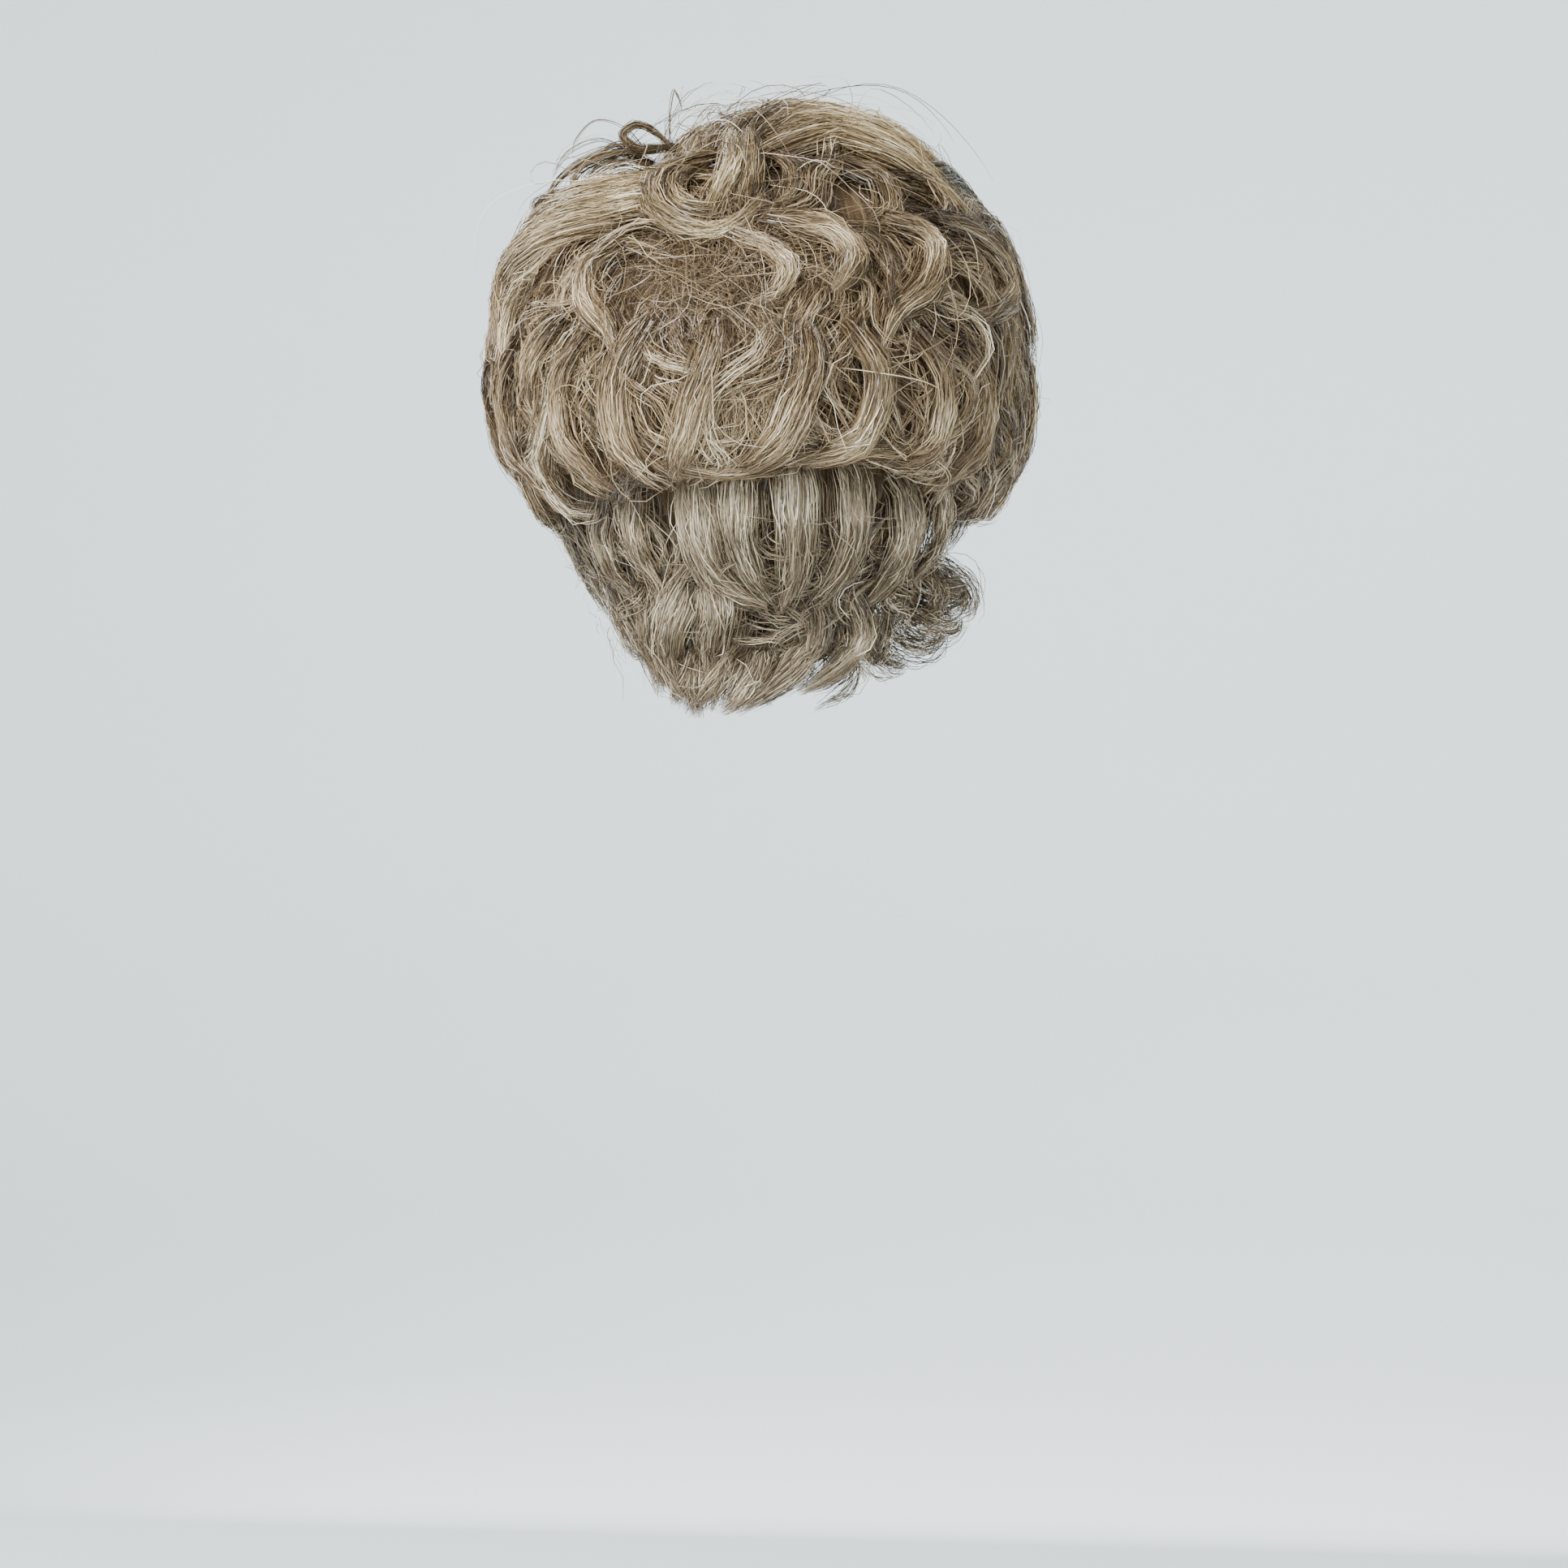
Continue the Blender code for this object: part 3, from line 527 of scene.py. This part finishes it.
def fibre_piece(name, parts, material, nodes=()):
    """Join ribbons into one mesh, with each fibre's tone and length as its UV map."""
    low = np.array(cad_low) - STRAY_REACH
    high = np.array(cad_high) + STRAY_REACH
    faces = []
    count = 0
    corners = []
    maps = []
    for edges, tones in parts:
        strands, levels = tones.shape
        index = count + np.arange(strands * levels * 2).reshape(strands, levels, 2)
        count += index.size
        quads = np.stack((index[:, :-1, 0], index[:, :-1, 1], index[:, 1:, 1], index[:, 1:, 0]), axis=-1)
        faces.append(quads.reshape(-1, 4))
        corners.append(np.clip(edges, low, high).reshape(-1, 3))
        length = np.broadcast_to(np.linspace(0.01, 0.99, levels), tones.shape)
        shades = np.stack((tones, tones + 0.004), axis=-1)
        lengths = np.stack((length, length), axis=-1)
        maps.append(np.stack((shades, lengths), axis=-1).reshape(-1, 2))
    faces = np.concatenate(faces)
    corners = np.concatenate(corners)
    mesh = bpy.data.meshes.new(name)
    mesh.vertices.add(len(corners))
    mesh.vertices.foreach_set("co", corners.ravel())
    mesh.loops.add(faces.size)
    mesh.loops.foreach_set("vertex_index", faces.ravel().astype(np.int32))
    mesh.polygons.add(len(faces))
    mesh.polygons.foreach_set("loop_start", np.arange(0, faces.size, 4, dtype=np.int32))
    mesh.update(calc_edges=True)
    places = np.concatenate(maps)[faces.ravel()]
    for label in ("strand", "OFBake"):
        mesh.uv_layers.new(name=label).data.foreach_set("uv", places.ravel())
    mesh.uv_layers["strand"].active_render = True
    mesh.shade_smooth()
    return link_piece(name, mesh, material, nodes)


def fibre_material(name, stops):
    """Satin modacrylic: its colour follows each fibre's tone, and is darker over the first fifth of the fibre
    from its root.
    """
    material, tree, shader = new_material(name)
    place = add_node(tree, "ShaderNodeUVMap", {"uv_map": "strand"}, {})
    split = add_node(tree, "ShaderNodeSeparateXYZ", {}, {"Vector": place.outputs["UV"]})
    dyed = add_node(tree, "ShaderNodeValToRGB", {"stops": stops}, {"Fac": split.outputs["X"]})
    root_darkening = add_node(
        tree, "ShaderNodeValToRGB", {"stops": ((0.0, "#a39789"), (0.22, "#ffffff"), (1.0, "#ffffff"))},
        {"Fac": split.outputs["Y"]},
    )
    shaded = add_node(
        tree, "ShaderNodeMixRGB", {"blend_type": "MULTIPLY"},
        {"Fac": 1.0, "Color1": dyed.outputs["Color"], "Color2": root_darkening.outputs["Color"]},
    )
    tree.links.new(shaded.outputs["Color"], shader.inputs["Base Color"])
    shader.inputs["Roughness"].default_value = 0.36
    shader.inputs["IOR"].default_value = 1.52
    return material


def filler(count, fibre_count, turn_range, fall_range, length, breadth, tone, nape=False, rise=0.0,
           swing=0.55, sway=0.0, painted_highlight=0.42):
    """Locks at random over a part of the head."""
    turn = rng.uniform(*turn_range, count)
    fall = rng.uniform(*fall_range, count)
    lengths = rng.uniform(*length, count)
    swings = rng.normal(swing, 0.18, count)
    periods = rng.uniform(0.045, 0.066, count)
    turns, falls = combed_paths(turn, fall, lengths, swings, periods, rng.normal(sway, 0.22, count))
    arch = np.sin(np.linspace(0.0, math.pi, turns.shape[1]))[None, :]
    arch = arch * rng.uniform(0.0, 0.003, count)[:, None]
    lift = rise + rng.normal(-0.0015, 0.0018, count)[:, None] + arch
    points, out = lay_paths(turns, falls, lift, nape)
    # A highlight painted along each lock: where, how strong and how long.
    painted_highlights = np.stack((rng.uniform(0.2, 0.8, count), rng.uniform(0.0, painted_highlight, count),
                       rng.uniform(0.08, 0.18, count)), axis=1)
    return fibres(points, out, fibre_count, rng.uniform(0.7, 1.3, count) * breadth, breadth * 0.15,
                  rng.normal(tone, 0.15, count), painted_highlights)


def frizz(count, turn_range, fall_range, tone, nape=False):
    """Single fine fibres that have left their locks and lie across them."""
    turn = rng.uniform(*turn_range, count)
    fall = rng.uniform(*fall_range, count)
    turns, falls = combed_paths(turn, fall, rng.uniform(0.02, 0.05, count), rng.normal(0.0, 1.2, count),
                                rng.uniform(0.04, 0.12, count), rng.normal(0.0, 0.7, count))
    arch = 0.002 * np.sin(np.linspace(0.0, math.pi, turns.shape[1]))[None, :]
    lift = rng.uniform(0.0, 0.005, count)[:, None] + arch
    points, out = lay_paths(turns, falls, lift, nape)
    return fibres(points, out, 1, 0.0005, 0.0001, tone, FAINT_PAINTED_HIGHLIGHT, width=0.00024, segments=7)


def curls(rows, nape, fray=0.18):
    """Locks along the paths of a table."""
    made = []
    for path, rise, breadth, hundreds, tone, painted_highlight_at, painted_highlight in rows:
        turns, falls = smooth_path(path)
        lift = np.interp(np.linspace(0.0, 1.0, PATH_SAMPLES), np.linspace(0.0, 1.0, len(rise)), rise) / 1000
        points, out = lay_paths(turns[None], falls[None], lift[None], nape)
        made.append(fibres(points, out, int(100 * hundreds), breadth / 700, breadth / 4500, tone,
                           np.array((painted_highlight_at, painted_highlight, 0.13)), segments=9, fray=fray))
    return made


# The crown: warm ash-blond locks on top. They swoop to the wearer's right, stand up in a tuft, close in a
# C-curl, and open in loops on the left.
crown_fibre = fibre_material("ash_blond_modacrylic", (
    (0.00, "#322514"), (0.22, "#54442e"), (0.45, "#816c4c"),
    (0.68, "#b29c75"), (0.86, "#d6c5a2"), (1.00, "#f0e5ca"),
))
CROWN_CURLS = (
    # path of turn and fall, rise in mm, breadth in mm, hundreds of fibres, tone, where and how strong a
    # highlight is painted along it
    ((-6, 26, 0, 20, 54, 8, 73, 14, 81, 21, 85, 28, 88, 38, 86, 50), (0, 1, 1, 1), 20, 6.5, 0.62, 0.45, 0.30),
    ((0, 30, 20, 18, 50, 20, 66, 26, 76, 34, 80, 44, 80, 54), (0, 2, 1, 0), 20, 6.0, 0.56, 0.40, 0.28),
    ((3, 34, 33, 27, 48, 31, 59, 36, 66, 42, 72, 52), (1, 4, 3, 2), 18, 4.5, 0.56, 0.50, 0.25),
    ((-6, 30, -15, 34, -20, 42, -16, 50, -7, 55, 2, 55, 9, 51, 12, 45),
     (4, 7, 6, 4, 2), 8, 3.5, 0.46, 0.72, 0.40),
    ((-8, 33, -13, 38, -14, 44, -9, 50, -1, 51, 5, 48), (3, 6, 5, 4, 3), 7, 2.0, 0.34, 0.6, 0.30),
    ((-3, 55, 0, 47, 2, 38, 0, 30, -3, 25), (2, 4, 6, 8), 8, 3.0, 0.56, 0.40, 0.40),
    ((6, 52, 8, 43, 8, 33, 5, 25), (1, 3, 5, 8), 7, 2.0, 0.36, 0.5, 0.2),
    ((14, 30, 22, 38, 20, 46, 12, 52), (1, 3, 2, 1), 10, 2.0, 0.30, 0.7, 0.2),
    ((36, 36, 47, 42, 45, 50, 36, 54), (1, 3, 2, 1), 12, 2.2, 0.34, 0.7, 0.2),
    ((-10, 44, -22, 47, -33, 49, -53, 52, -70, 57), (2, 4, 4, 2), 16, 4.5, 0.55, 0.35, 0.32),
    ((-12, 40, -26, 42, -44, 44, -62, 48, -78, 54), (1, 3, 4, 2), 15, 4.0, 0.52, 0.40, 0.32),
    ((-20, 38, -42, 40, -64, 43, -82, 49, -92, 58), (0, 2, 3, 1), 16, 3.6, 0.50, 0.5, 0.28),
)
LOOSE_CURLS = (
    # path of mm to the viewer's right and mm up, mm towards the viewer, breadth in mm, fibres, tone: the
    # tight curl, the open loops beside it, and the thin arcs that stand highest
    ((-30, 17, -35, 21, -45, 20, -52, 21, -56, 25, -54, 28, -50, 30, -44, 28, -38, 23, -32, 17),
     12, 2.2, 130, 0.30),
    ((-42, 15, -49, 18, -55, 20, -64, 18, -70, 15, -74, 12, -76, 8, -74, 5, -70, 5, -63, 7, -55, 8),
     4, 2.6, 60, 0.40),
    ((-39, 12, -47, 15, -55, 17, -63, 15, -68, 12, -71, 9, -69, 6, -63, 5), 0, 5, 40, 0.44),
    ((-75, 6, -79, 4, -84, 2, -89, 0, -91, -2, -89, -4, -83, -2, -77, -4), 2, 3.4, 60, 0.36),
    ((-46, 18, -56, 24, -65, 21, -75, 16, -83, 9, -87, 3, -89, -4), -4, 3, 26, 0.42),
    ((-37, 18, -37, 27, -37, 36, -36, 44, -35, 45, -33, 41, -32, 36), 2, 1.8, 3, 0.30),
    ((-35, 18, -38, 30, -37, 37, -36, 40), -2, 1.5, 3, 0.35),
    ((-32, 18, -28, 30, -23, 37, -18, 39, -15, 33), 0, 2, 5, 0.36),
    ((-46, 20, -55, 30, -67, 33, -75, 26, -77, 20), 0, 2, 5, 0.36),
    ((-49, 17, -64, 26, -79, 21, -86, 10), -8, 3, 8, 0.40),
)


def loose_curls(rows, fray=0.10, kink=0.0003, segments=18):
    """Curls that stand clear of the head against the light, in a plane that faces the viewer."""
    made = []
    for path, toward, breadth, count, tone in rows:
        marks = np.array(path, float).reshape(-1, 2) / 1000
        smooth = spline(marks, PATH_SAMPLES)
        depth = (toward + 6.0 * np.sin(np.linspace(0.0, math.pi, PATH_SAMPLES))) / 1000
        points = (np.outer(smooth[:, 0], right_of_view) + np.outer(depth, back_of_view)
                  + np.outer(smooth[:, 1], (0.0, 0.0, 1.0)))
        out = np.broadcast_to(np.array(back_of_view), points.shape)
        made.append(fibres(points[None], out[None], count, breadth / 700, breadth / 2000, tone,
                           FAINT_PAINTED_HIGHLIGHT, segments=segments, fray=fray, kink=kink))
    return made


crown_parts = curls(CROWN_CURLS, False) + loose_curls(LOOSE_CURLS)
crown_parts.append(filler(72, 62, (0.0, 360.0), (4.0, 44.0), (0.06, 0.10), 0.022, 0.44))
crown_parts.append(filler(30, 40, (0.0, 360.0), (2.0, 30.0), (0.05, 0.09), 0.020, 0.46, rise=0.001))
crown_parts.append(frizz(500, (0.0, 360.0), (6.0, 46.0), 0.62))
fibre_piece("crown_fibres", crown_parts, crown_fibre, ["crown_hair"])

# The upper back: taupe locks that fall from the whorl in waves and turn under in a shelf above the nape.
hair_fibre = fibre_material("ash_taupe_modacrylic", (
    (0.00, "#2b1e11"), (0.22, "#4c3a26"), (0.45, "#7a6347"),
    (0.68, "#ad9773"), (0.86, "#d6c29f"), (1.00, "#f1e3c9"),
))
BACK_CURLS = (
    # path of turn and fall, rise in mm, breadth in mm, hundreds of fibres, tone, where and how strong a
    # highlight is painted along it
    ((-1, 54, 8, 57, 14, 60, 17, 64, 14, 69, 9, 70), (3, 4, 4, 2), 7, 2.2, 0.60, 0.6, 0.30),
    ((11, 52, 20, 54, 27, 56, 31, 60, 30, 64, 26, 68), (2, 4, 4, 2), 11, 3.0, 0.56, 0.45, 0.36),
    ((24, 66, 20, 72, 16, 78), (1, 2, 1), 12, 2.0, 0.44, 0.5, 0.2),
    ((41, 52, 50, 55, 52, 60, 48, 66, 40, 71, 36, 78), (2, 4, 3, 2), 13, 3.5, 0.50, 0.35, 0.34),
    ((56, 52, 70, 55, 78, 60, 79, 65, 66, 70, 58, 71), (2, 4, 3, 2), 14, 3.5, 0.44, 0.55, 0.34),
    ((-19, 50, -33, 50, -53, 54, -70, 60, -68, 68, -60, 76), (2, 4, 3, 2), 17, 5.0, 0.55, 0.35, 0.34),
    ((-21, 57, -29, 61, -29, 68, -21, 74, -18, 80), (2, 4, 3, 1), 11, 3.0, 0.50, 0.45, 0.28),
    ((-35, 70, -40, 78, -43, 86, -38, 92), (2, 4, 3, 1), 14, 3.2, 0.44, 0.35, 0.34),
    ((3, 72, 2, 80, -1, 88, -5, 96, -6, 103), (1, 3, 4, 2), 13, 2.6, 0.50, 0.60, 0.38),
    ((-11, 72, -16, 80, -18, 88, -15, 96, -12, 104), (1, 3, 4, 2), 12, 2.5, 0.48, 0.55, 0.34),
    ((19, 72, 21, 80, 18, 88, 12, 96, 6, 103), (1, 3, 4, 2), 12, 2.5, 0.50, 0.60, 0.38),
    ((28, 73, 34, 81, 33, 89, 26, 96, 18, 101), (1, 3, 4, 2), 11, 2.5, 0.52, 0.60, 0.36),
    ((44, 74, 50, 82, 50, 90, 44, 97, 38, 101), (1, 3, 4, 2), 11, 2.4, 0.48, 0.50, 0.36),
    ((57, 74, 64, 82, 65, 90, 60, 98, 54, 104), (1, 3, 4, 2), 11, 2.2, 0.44, 0.45, 0.32),
    ((-27, 74, -32, 82, -32, 90, -27, 98, -22, 105), (1, 3, 4, 2), 11, 2.2, 0.44, 0.50, 0.32),
    ((-46, 72, -54, 80, -56, 89, -50, 98, -44, 106), (1, 3, 4, 2), 12, 2.4, 0.40, 0.50, 0.30),
    ((-14, 90, -6, 97, 6, 101, 16, 99, 24, 96), (1, 2, 3, 1), 7, 0.9, 0.44, 0.5, 0.28),
    ((22, 92, 29, 97, 37, 98, 43, 93, 46, 88), (1, 2, 3, 1), 7, 0.8, 0.46, 0.5, 0.30),
)


def matted(count, turn, fall, spread, tone):
    """Short fibres that cross each other every way, where the hair is teased."""
    middle_turn = rng.normal(turn, spread, count)[:, None]
    middle_fall = rng.normal(fall, spread * 0.8, count)[:, None]
    away = rng.uniform(0.0, 2 * math.pi, count)
    bend = rng.normal(0.0, 0.9, count)
    reach = rng.uniform(6.0, 16.0, count)[:, None]
    along = np.linspace(-1.0, 1.0, 12)[None, :]
    heading = away[:, None] + bend[:, None] * along
    turns = middle_turn + reach * along * np.cos(heading)
    falls = middle_fall + reach * along * np.sin(heading)
    lift = rng.uniform(-0.001, 0.004, count)[:, None] + 0.002 * (1 - along ** 2)
    points, out = lay_paths(turns, np.maximum(falls, 3.0), lift, False)
    return fibres(points, out, 1, 0.0005, 0.0001, tone, FAINT_PAINTED_HIGHLIGHT, width=0.00022, segments=6)


back_parts = curls(BACK_CURLS, False)
back_parts.append(matted(900, 2.0, 61.0, 9.0, 0.42))
back_parts.append(frizz(500, (-62.0, 62.0), (48.0, 92.0), 0.60))
back_parts.append(filler(60, 36, (-64.0, 64.0), (46.0, 88.0), (0.045, 0.07), 0.014, 0.50, swing=0.95))
back_parts.append(filler(190, 18, (-64.0, 64.0), (52.0, 88.0), (0.04, 0.065), 0.009, 0.54, swing=1.1,
                         painted_highlight=0.25))
fibre_piece("back_fibres", back_parts, hair_fibre, ["back_hair"])

# The sides: layered locks that fall over the ears in waves, and sweep back from the face.
for name, node_name, first, last, sway in (
        ("right_side_fibres", "right_side_hair", 60.0, 152.0, 0.16),
        ("left_side_fibres", "left_side_hair", -152.0, -60.0, -0.16)):
    side_parts = [
        filler(72, 56, (first, last), (44.0, 74.0), (0.055, 0.085), 0.017, 0.42, swing=0.95, sway=sway),
        filler(64, 56, (first, last), (66.0, 94.0), (0.045, 0.07), 0.015, 0.38, swing=1.0, sway=sway),
        frizz(300, (first, last), (48.0, 96.0), 0.56),
    ]
    fibre_piece(name, side_parts, hair_fibre, [node_name])

# The fringe: blond locks that fall over the forehead and sweep to the wearer's left.
fringe_parts = [
    filler(54, 60, (148.0, 212.0), (36.0, 62.0), (0.06, 0.09), 0.016, 0.50, swing=0.7, sway=-0.3),
    filler(44, 30, (150.0, 210.0), (58.0, 76.0), (0.04, 0.06), 0.010, 0.50, rise=0.001, swing=0.8, sway=-0.3),
    frizz(160, (150.0, 210.0), (44.0, 76.0), 0.62),
]
fibre_piece("fringe_fibres", fringe_parts, crown_fibre, ["fringe_hair"])

# The nape: silver-grey locks under the shelf. They fall straight, then wave, and flip out on the right.
nape_fibre = fibre_material("silver_grey_modacrylic", (
    (0.00, "#281e13"), (0.22, "#493a2a"), (0.45, "#74634b"),
    (0.68, "#a99678"), (0.86, "#d8c7aa"), (1.00, "#f6e9d2"),
))
NAPE_CURLS = (
    # path of turn and fall, rise in mm, breadth in mm, hundreds of fibres, tone, where and how strong a
    # highlight is painted along it
    ((-4, 98, -4, 104, -4, 112, -2, 120, 5, 127, 14, 130), (0, 2, 4, 3), 13, 3.4, 0.55, 0.35, 0.42),
    ((7, 98, 6, 105, 6, 113, 9, 122, 15, 129), (0, 2, 3, 2), 13, 3.4, 0.52, 0.30, 0.42),
    ((19, 96, 20, 104, 21, 113, 21, 124, 18, 132), (0, 2, 3, 2), 13, 3.4, 0.54, 0.30, 0.42),
    ((31, 96, 34, 104, 36, 113, 33, 124, 26, 132), (0, 2, 3, 2), 13, 3.2, 0.50, 0.35, 0.36),
    ((44, 98, 52, 106, 55, 115, 52, 124, 44, 132), (0, 3, 3, 2), 14, 3.2, 0.48, 0.40, 0.34),
    ((58, 98, 66, 106, 68, 115, 64, 124), (0, 2, 3, 2), 13, 2.5, 0.44, 0.40, 0.30),
    ((-18, 100, -22, 108, -22, 117, -17, 125), (0, 2, 3, 2), 12, 2.4, 0.46, 0.45, 0.34),
    ((-30, 104, -36, 112, -36, 121, -28, 129), (0, 2, 3, 2), 13, 2.4, 0.40, 0.45, 0.26),
    ((-7, 119, -14, 128, -21, 138, -22, 148, -16, 156), (1, 4, 4, 2), 13, 3.2, 0.50, 0.30, 0.44),
    ((-3, 120, -2, 130, -6, 140, -8, 150), (1, 4, 3, 2), 13, 3.2, 0.50, 0.28, 0.44),
    ((39, 126, 46, 135, 43, 144, 31, 151, 16, 156, 3, 160), (1, 5, 3, 0), 11, 3.0, 0.52, 0.45, 0.42),
    ((24, 124, 29, 134, 27, 143, 16, 151, 2, 158), (1, 3, 3, 1), 10, 2.4, 0.46, 0.55, 0.36),
    ((57, 130, 58, 140, 54, 147), (1, 2, 1), 10, 1.7, 0.40, 0.5, 0.26),
    ((-41, 118, -40, 128, -36, 139, -32, 148), (0, 1, 1, 0), 12, 1.8, 0.36, 0.5, 0.26),
    ((-24, 120, -27, 129, -30, 140, -28, 152), (0, 1, 2, 1), 11, 2.0, 0.44, 0.5, 0.30),
    ((30, 128, 28, 138, 20, 148, 6, 156, -8, 160), (0, 2, 2, 0), 12, 2.2, 0.42, 0.5, 0.30),
    ((6, 132, 2, 142, -8, 151, -20, 158), (0, 2, 2, 0), 10, 2.0, 0.46, 0.6, 0.36),
    ((-12, 138, -16, 148, -26, 156), (1, 2, 0), 10, 1.8, 0.40, 0.6, 0.36),
    ((14, 138, 10, 148, 0, 156, -12, 160), (1, 2, 1, 0), 9, 1.8, 0.50, 0.6, 0.32),
    ((2, 138, -2, 148, -9, 158), (0, 1, 0), 12, 1.7, 0.42, 0.5, 0.30),
    ((-10, 140, -13, 150, -14, 161), (0, 1, 0), 11, 1.5, 0.46, 0.5, 0.30),
    ((46, 136, 44, 145, 36, 152), (0, 1, 0), 9, 1.5, 0.44, 0.5, 0.30),
)
FLIPPED_CURLS = (
    # as in LOOSE_CURLS: the ends that flip out behind the wearer's right ear
    ((47, -145, 57, -150, 68, -155, 77, -157, 85, -155), 30, 13, 175, 0.42),
    ((49, -154, 59, -160, 69, -164, 78, -163, 84, -157), 24, 12, 175, 0.36),
    ((52, -161, 61, -169, 69, -173, 77, -174, 80, -169), 30, 12, 175, 0.44),
    ((60, -145, 72, -150, 81, -157, 83, -165, 78, -169), 18, 11, 162, 0.38),
    ((49, -168, 55, -176, 63, -180, 70, -178, 72, -173), 26, 11, 148, 0.40),
    ((42, -175, 46, -183, 53, -188, 59, -188), 32, 10, 135, 0.40),
    ((53, -148, 63, -152, 70, -159, 68, -167, 61, -169), 34, 8, 121, 0.50),
    ((41, -148, 48, -155, 53, -163, 51, -171, 45, -177), 34, 10, 130, 0.42),
)
nape_parts = curls(NAPE_CURLS, True, fray=0.34)
nape_parts += loose_curls(FLIPPED_CURLS, fray=0.60, kink=0.0010, segments=10)
NAPE_FILLERS = (
    # locks, fibres in each, turns, falls, lengths, breadth, tone, rise, swing
    (54, 30, (-84.0, 84.0), (94.0, 118.0), (0.035, 0.055), 0.012, 0.40, 0.0, 0.7),
    (54, 32, (-48.0, 60.0), (116.0, 142.0), (0.028, 0.045), 0.011, 0.40, 0.0, 0.8),
    (60, 20, (-34.0, 62.0), (106.0, 134.0), (0.030, 0.045), 0.008, 0.46, 0.001, 1.3),
)
for *row, rise, swing in NAPE_FILLERS:
    nape_parts.append(filler(*row, nape=True, rise=rise, swing=swing))
nape_parts.append(frizz(260, (-70.0, 70.0), (100.0, 140.0), 0.60, nape=True))
fibre_piece("nape_fibres", nape_parts, nape_fibre, ["nape_hair"])

# Stray fibres: single crimped fibres that stand off the locks and catch the light, most of all on top.
stray_parts = []
for stray_count, stray_turn, stray_fall, stand in (
        (140, (-180.0, 180.0), (4.0, 60.0), 0.012), (120, (-180.0, 180.0), (50.0, 100.0), 0.006),
        (70, (-60.0, 30.0), (10.0, 44.0), 0.024)):
    turn = rng.uniform(*stray_turn, stray_count)
    fall = rng.uniform(*stray_fall, stray_count)
    lengths = rng.uniform(0.03, 0.08, stray_count)
    swings = rng.normal(0.0, 1.3, stray_count)
    periods = rng.uniform(0.04, 0.12, stray_count)
    turns, falls = combed_paths(turn, fall, lengths, swings, periods, rng.normal(0.0, 0.8, stray_count))
    arch = np.sin(np.linspace(0.0, math.pi * 0.85, turns.shape[1]))[None, :]
    lift = arch * stand * rng.uniform(0.2, 1.0, stray_count)[:, None]
    points, out = lay_paths(turns, falls, lift, False)
    stray_parts.append(fibres(points, out, 1, 0.001, 0.001, 0.45, FAINT_PAINTED_HIGHLIGHT, spread=0.25, width=0.0003,
                              segments=14))
fibre_piece("stray_fibres", stray_parts, hair_fibre)

# The studio: a pale floor, 0.8 m below the head's crown, that curves up into a round wall.
FLOOR_DROP = -0.80
COVE = (
    # radius, height over the floor
    (0.0, 0.0), (1.0, 0.0), (2.0, 0.0), (2.5, 0.03), (2.9, 0.14), (3.2, 0.34), (3.4, 0.64), (3.5, 1.1),
    (3.5, 2.2), (3.4, 3.2),
)
painted, tree, shader = new_material("matt_emulsion_paint")
grain = add_node(tree, "ShaderNodeTexNoise", {}, {"Scale": 3.0, "Detail": 2.0})
pale = add_node(
    tree, "ShaderNodeValToRGB", {"stops": ((0.3, "#ecf2f3"), (0.7, "#eff5f6"))},
    {"Fac": grain.outputs["Fac"]},
)
tree.links.new(pale.outputs["Color"], shader.inputs["Base Color"])
shader.inputs["Roughness"].default_value = 0.9
studio_turns = np.radians(np.arange(0.0, 360.0, 5.0))[:, None]
radius = np.array([row[0] for row in COVE])[None, :]
height = np.array([row[1] for row in COVE])[None, :] + FLOOR_DROP
across = radius * np.cos(studio_turns)
ring = np.stack((across, radius * np.sin(studio_turns), np.broadcast_to(height, across.shape)), axis=-1)
studio = bpy.data.objects.new("studio_floor", grid_mesh("studio_floor", ring, True))
studio.data.materials.append(painted)
bpy.context.scene.collection.objects.link(studio)
studio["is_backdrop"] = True

# The light: a strong soft box high on the viewer's left, weaker and larger ones on the right, above and in
# front of the wearer, washes on the wall all round, and an even pale surround.
left_of_view = -right_of_view
wig_centre = Vector((0.0, 0.0, -0.08))
for name, place, target, size, power in (
        ("soft_box", back_of_view * 1.5 + left_of_view * 1.1 + Vector((0, 0, 1.15)), wig_centre, 0.6, 100.0),
        ("fill", back_of_view * 1.6 - left_of_view * 1.3 + Vector((0, 0, 0.2)), wig_centre, 1.2, 3.0),
        ("top_light", Vector((0.1, -0.2, 1.5)), wig_centre, 1.2, 12.0),
        ("front_light", left_of_view * 0.9 - back_of_view * 1.6 + Vector((0, 0, 0.9)), wig_centre, 1.1, 34),
        ("wall_wash_back", Vector((0.0, -1.7, 0.1)), Vector((0.0, -3.5, 0.0)), 1.6, 22.0),
        ("wall_wash_front", Vector((0.0, 1.7, 0.1)), Vector((0.0, 3.5, 0.0)), 1.6, 22.0),
        ("wall_wash_right", Vector((-1.7, 0.0, 0.1)), Vector((-3.5, 0.0, 0.0)), 1.6, 22.0),
        ("wall_wash_left", Vector((1.7, 0.0, 0.1)), Vector((3.5, 0.0, 0.0)), 1.6, 22.0)):
    lamp = bpy.data.lights.new(name, "AREA")
    lamp.size = size
    lamp.energy = power
    light = bpy.data.objects.new(name, lamp)
    light.location = place
    light.rotation_mode = "QUATERNION"
    light.rotation_quaternion = (target - place).to_track_quat("-Z", "Y")
    bpy.context.scene.collection.objects.link(light)
world = bpy.data.worlds.new("surround")
world.use_nodes = True
surround = world.node_tree.nodes["Background"]
surround.inputs["Color"].default_value = linear("#dfe4e9")
surround.inputs["Strength"].default_value = 0.5
bpy.context.scene.world = world

low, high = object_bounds()
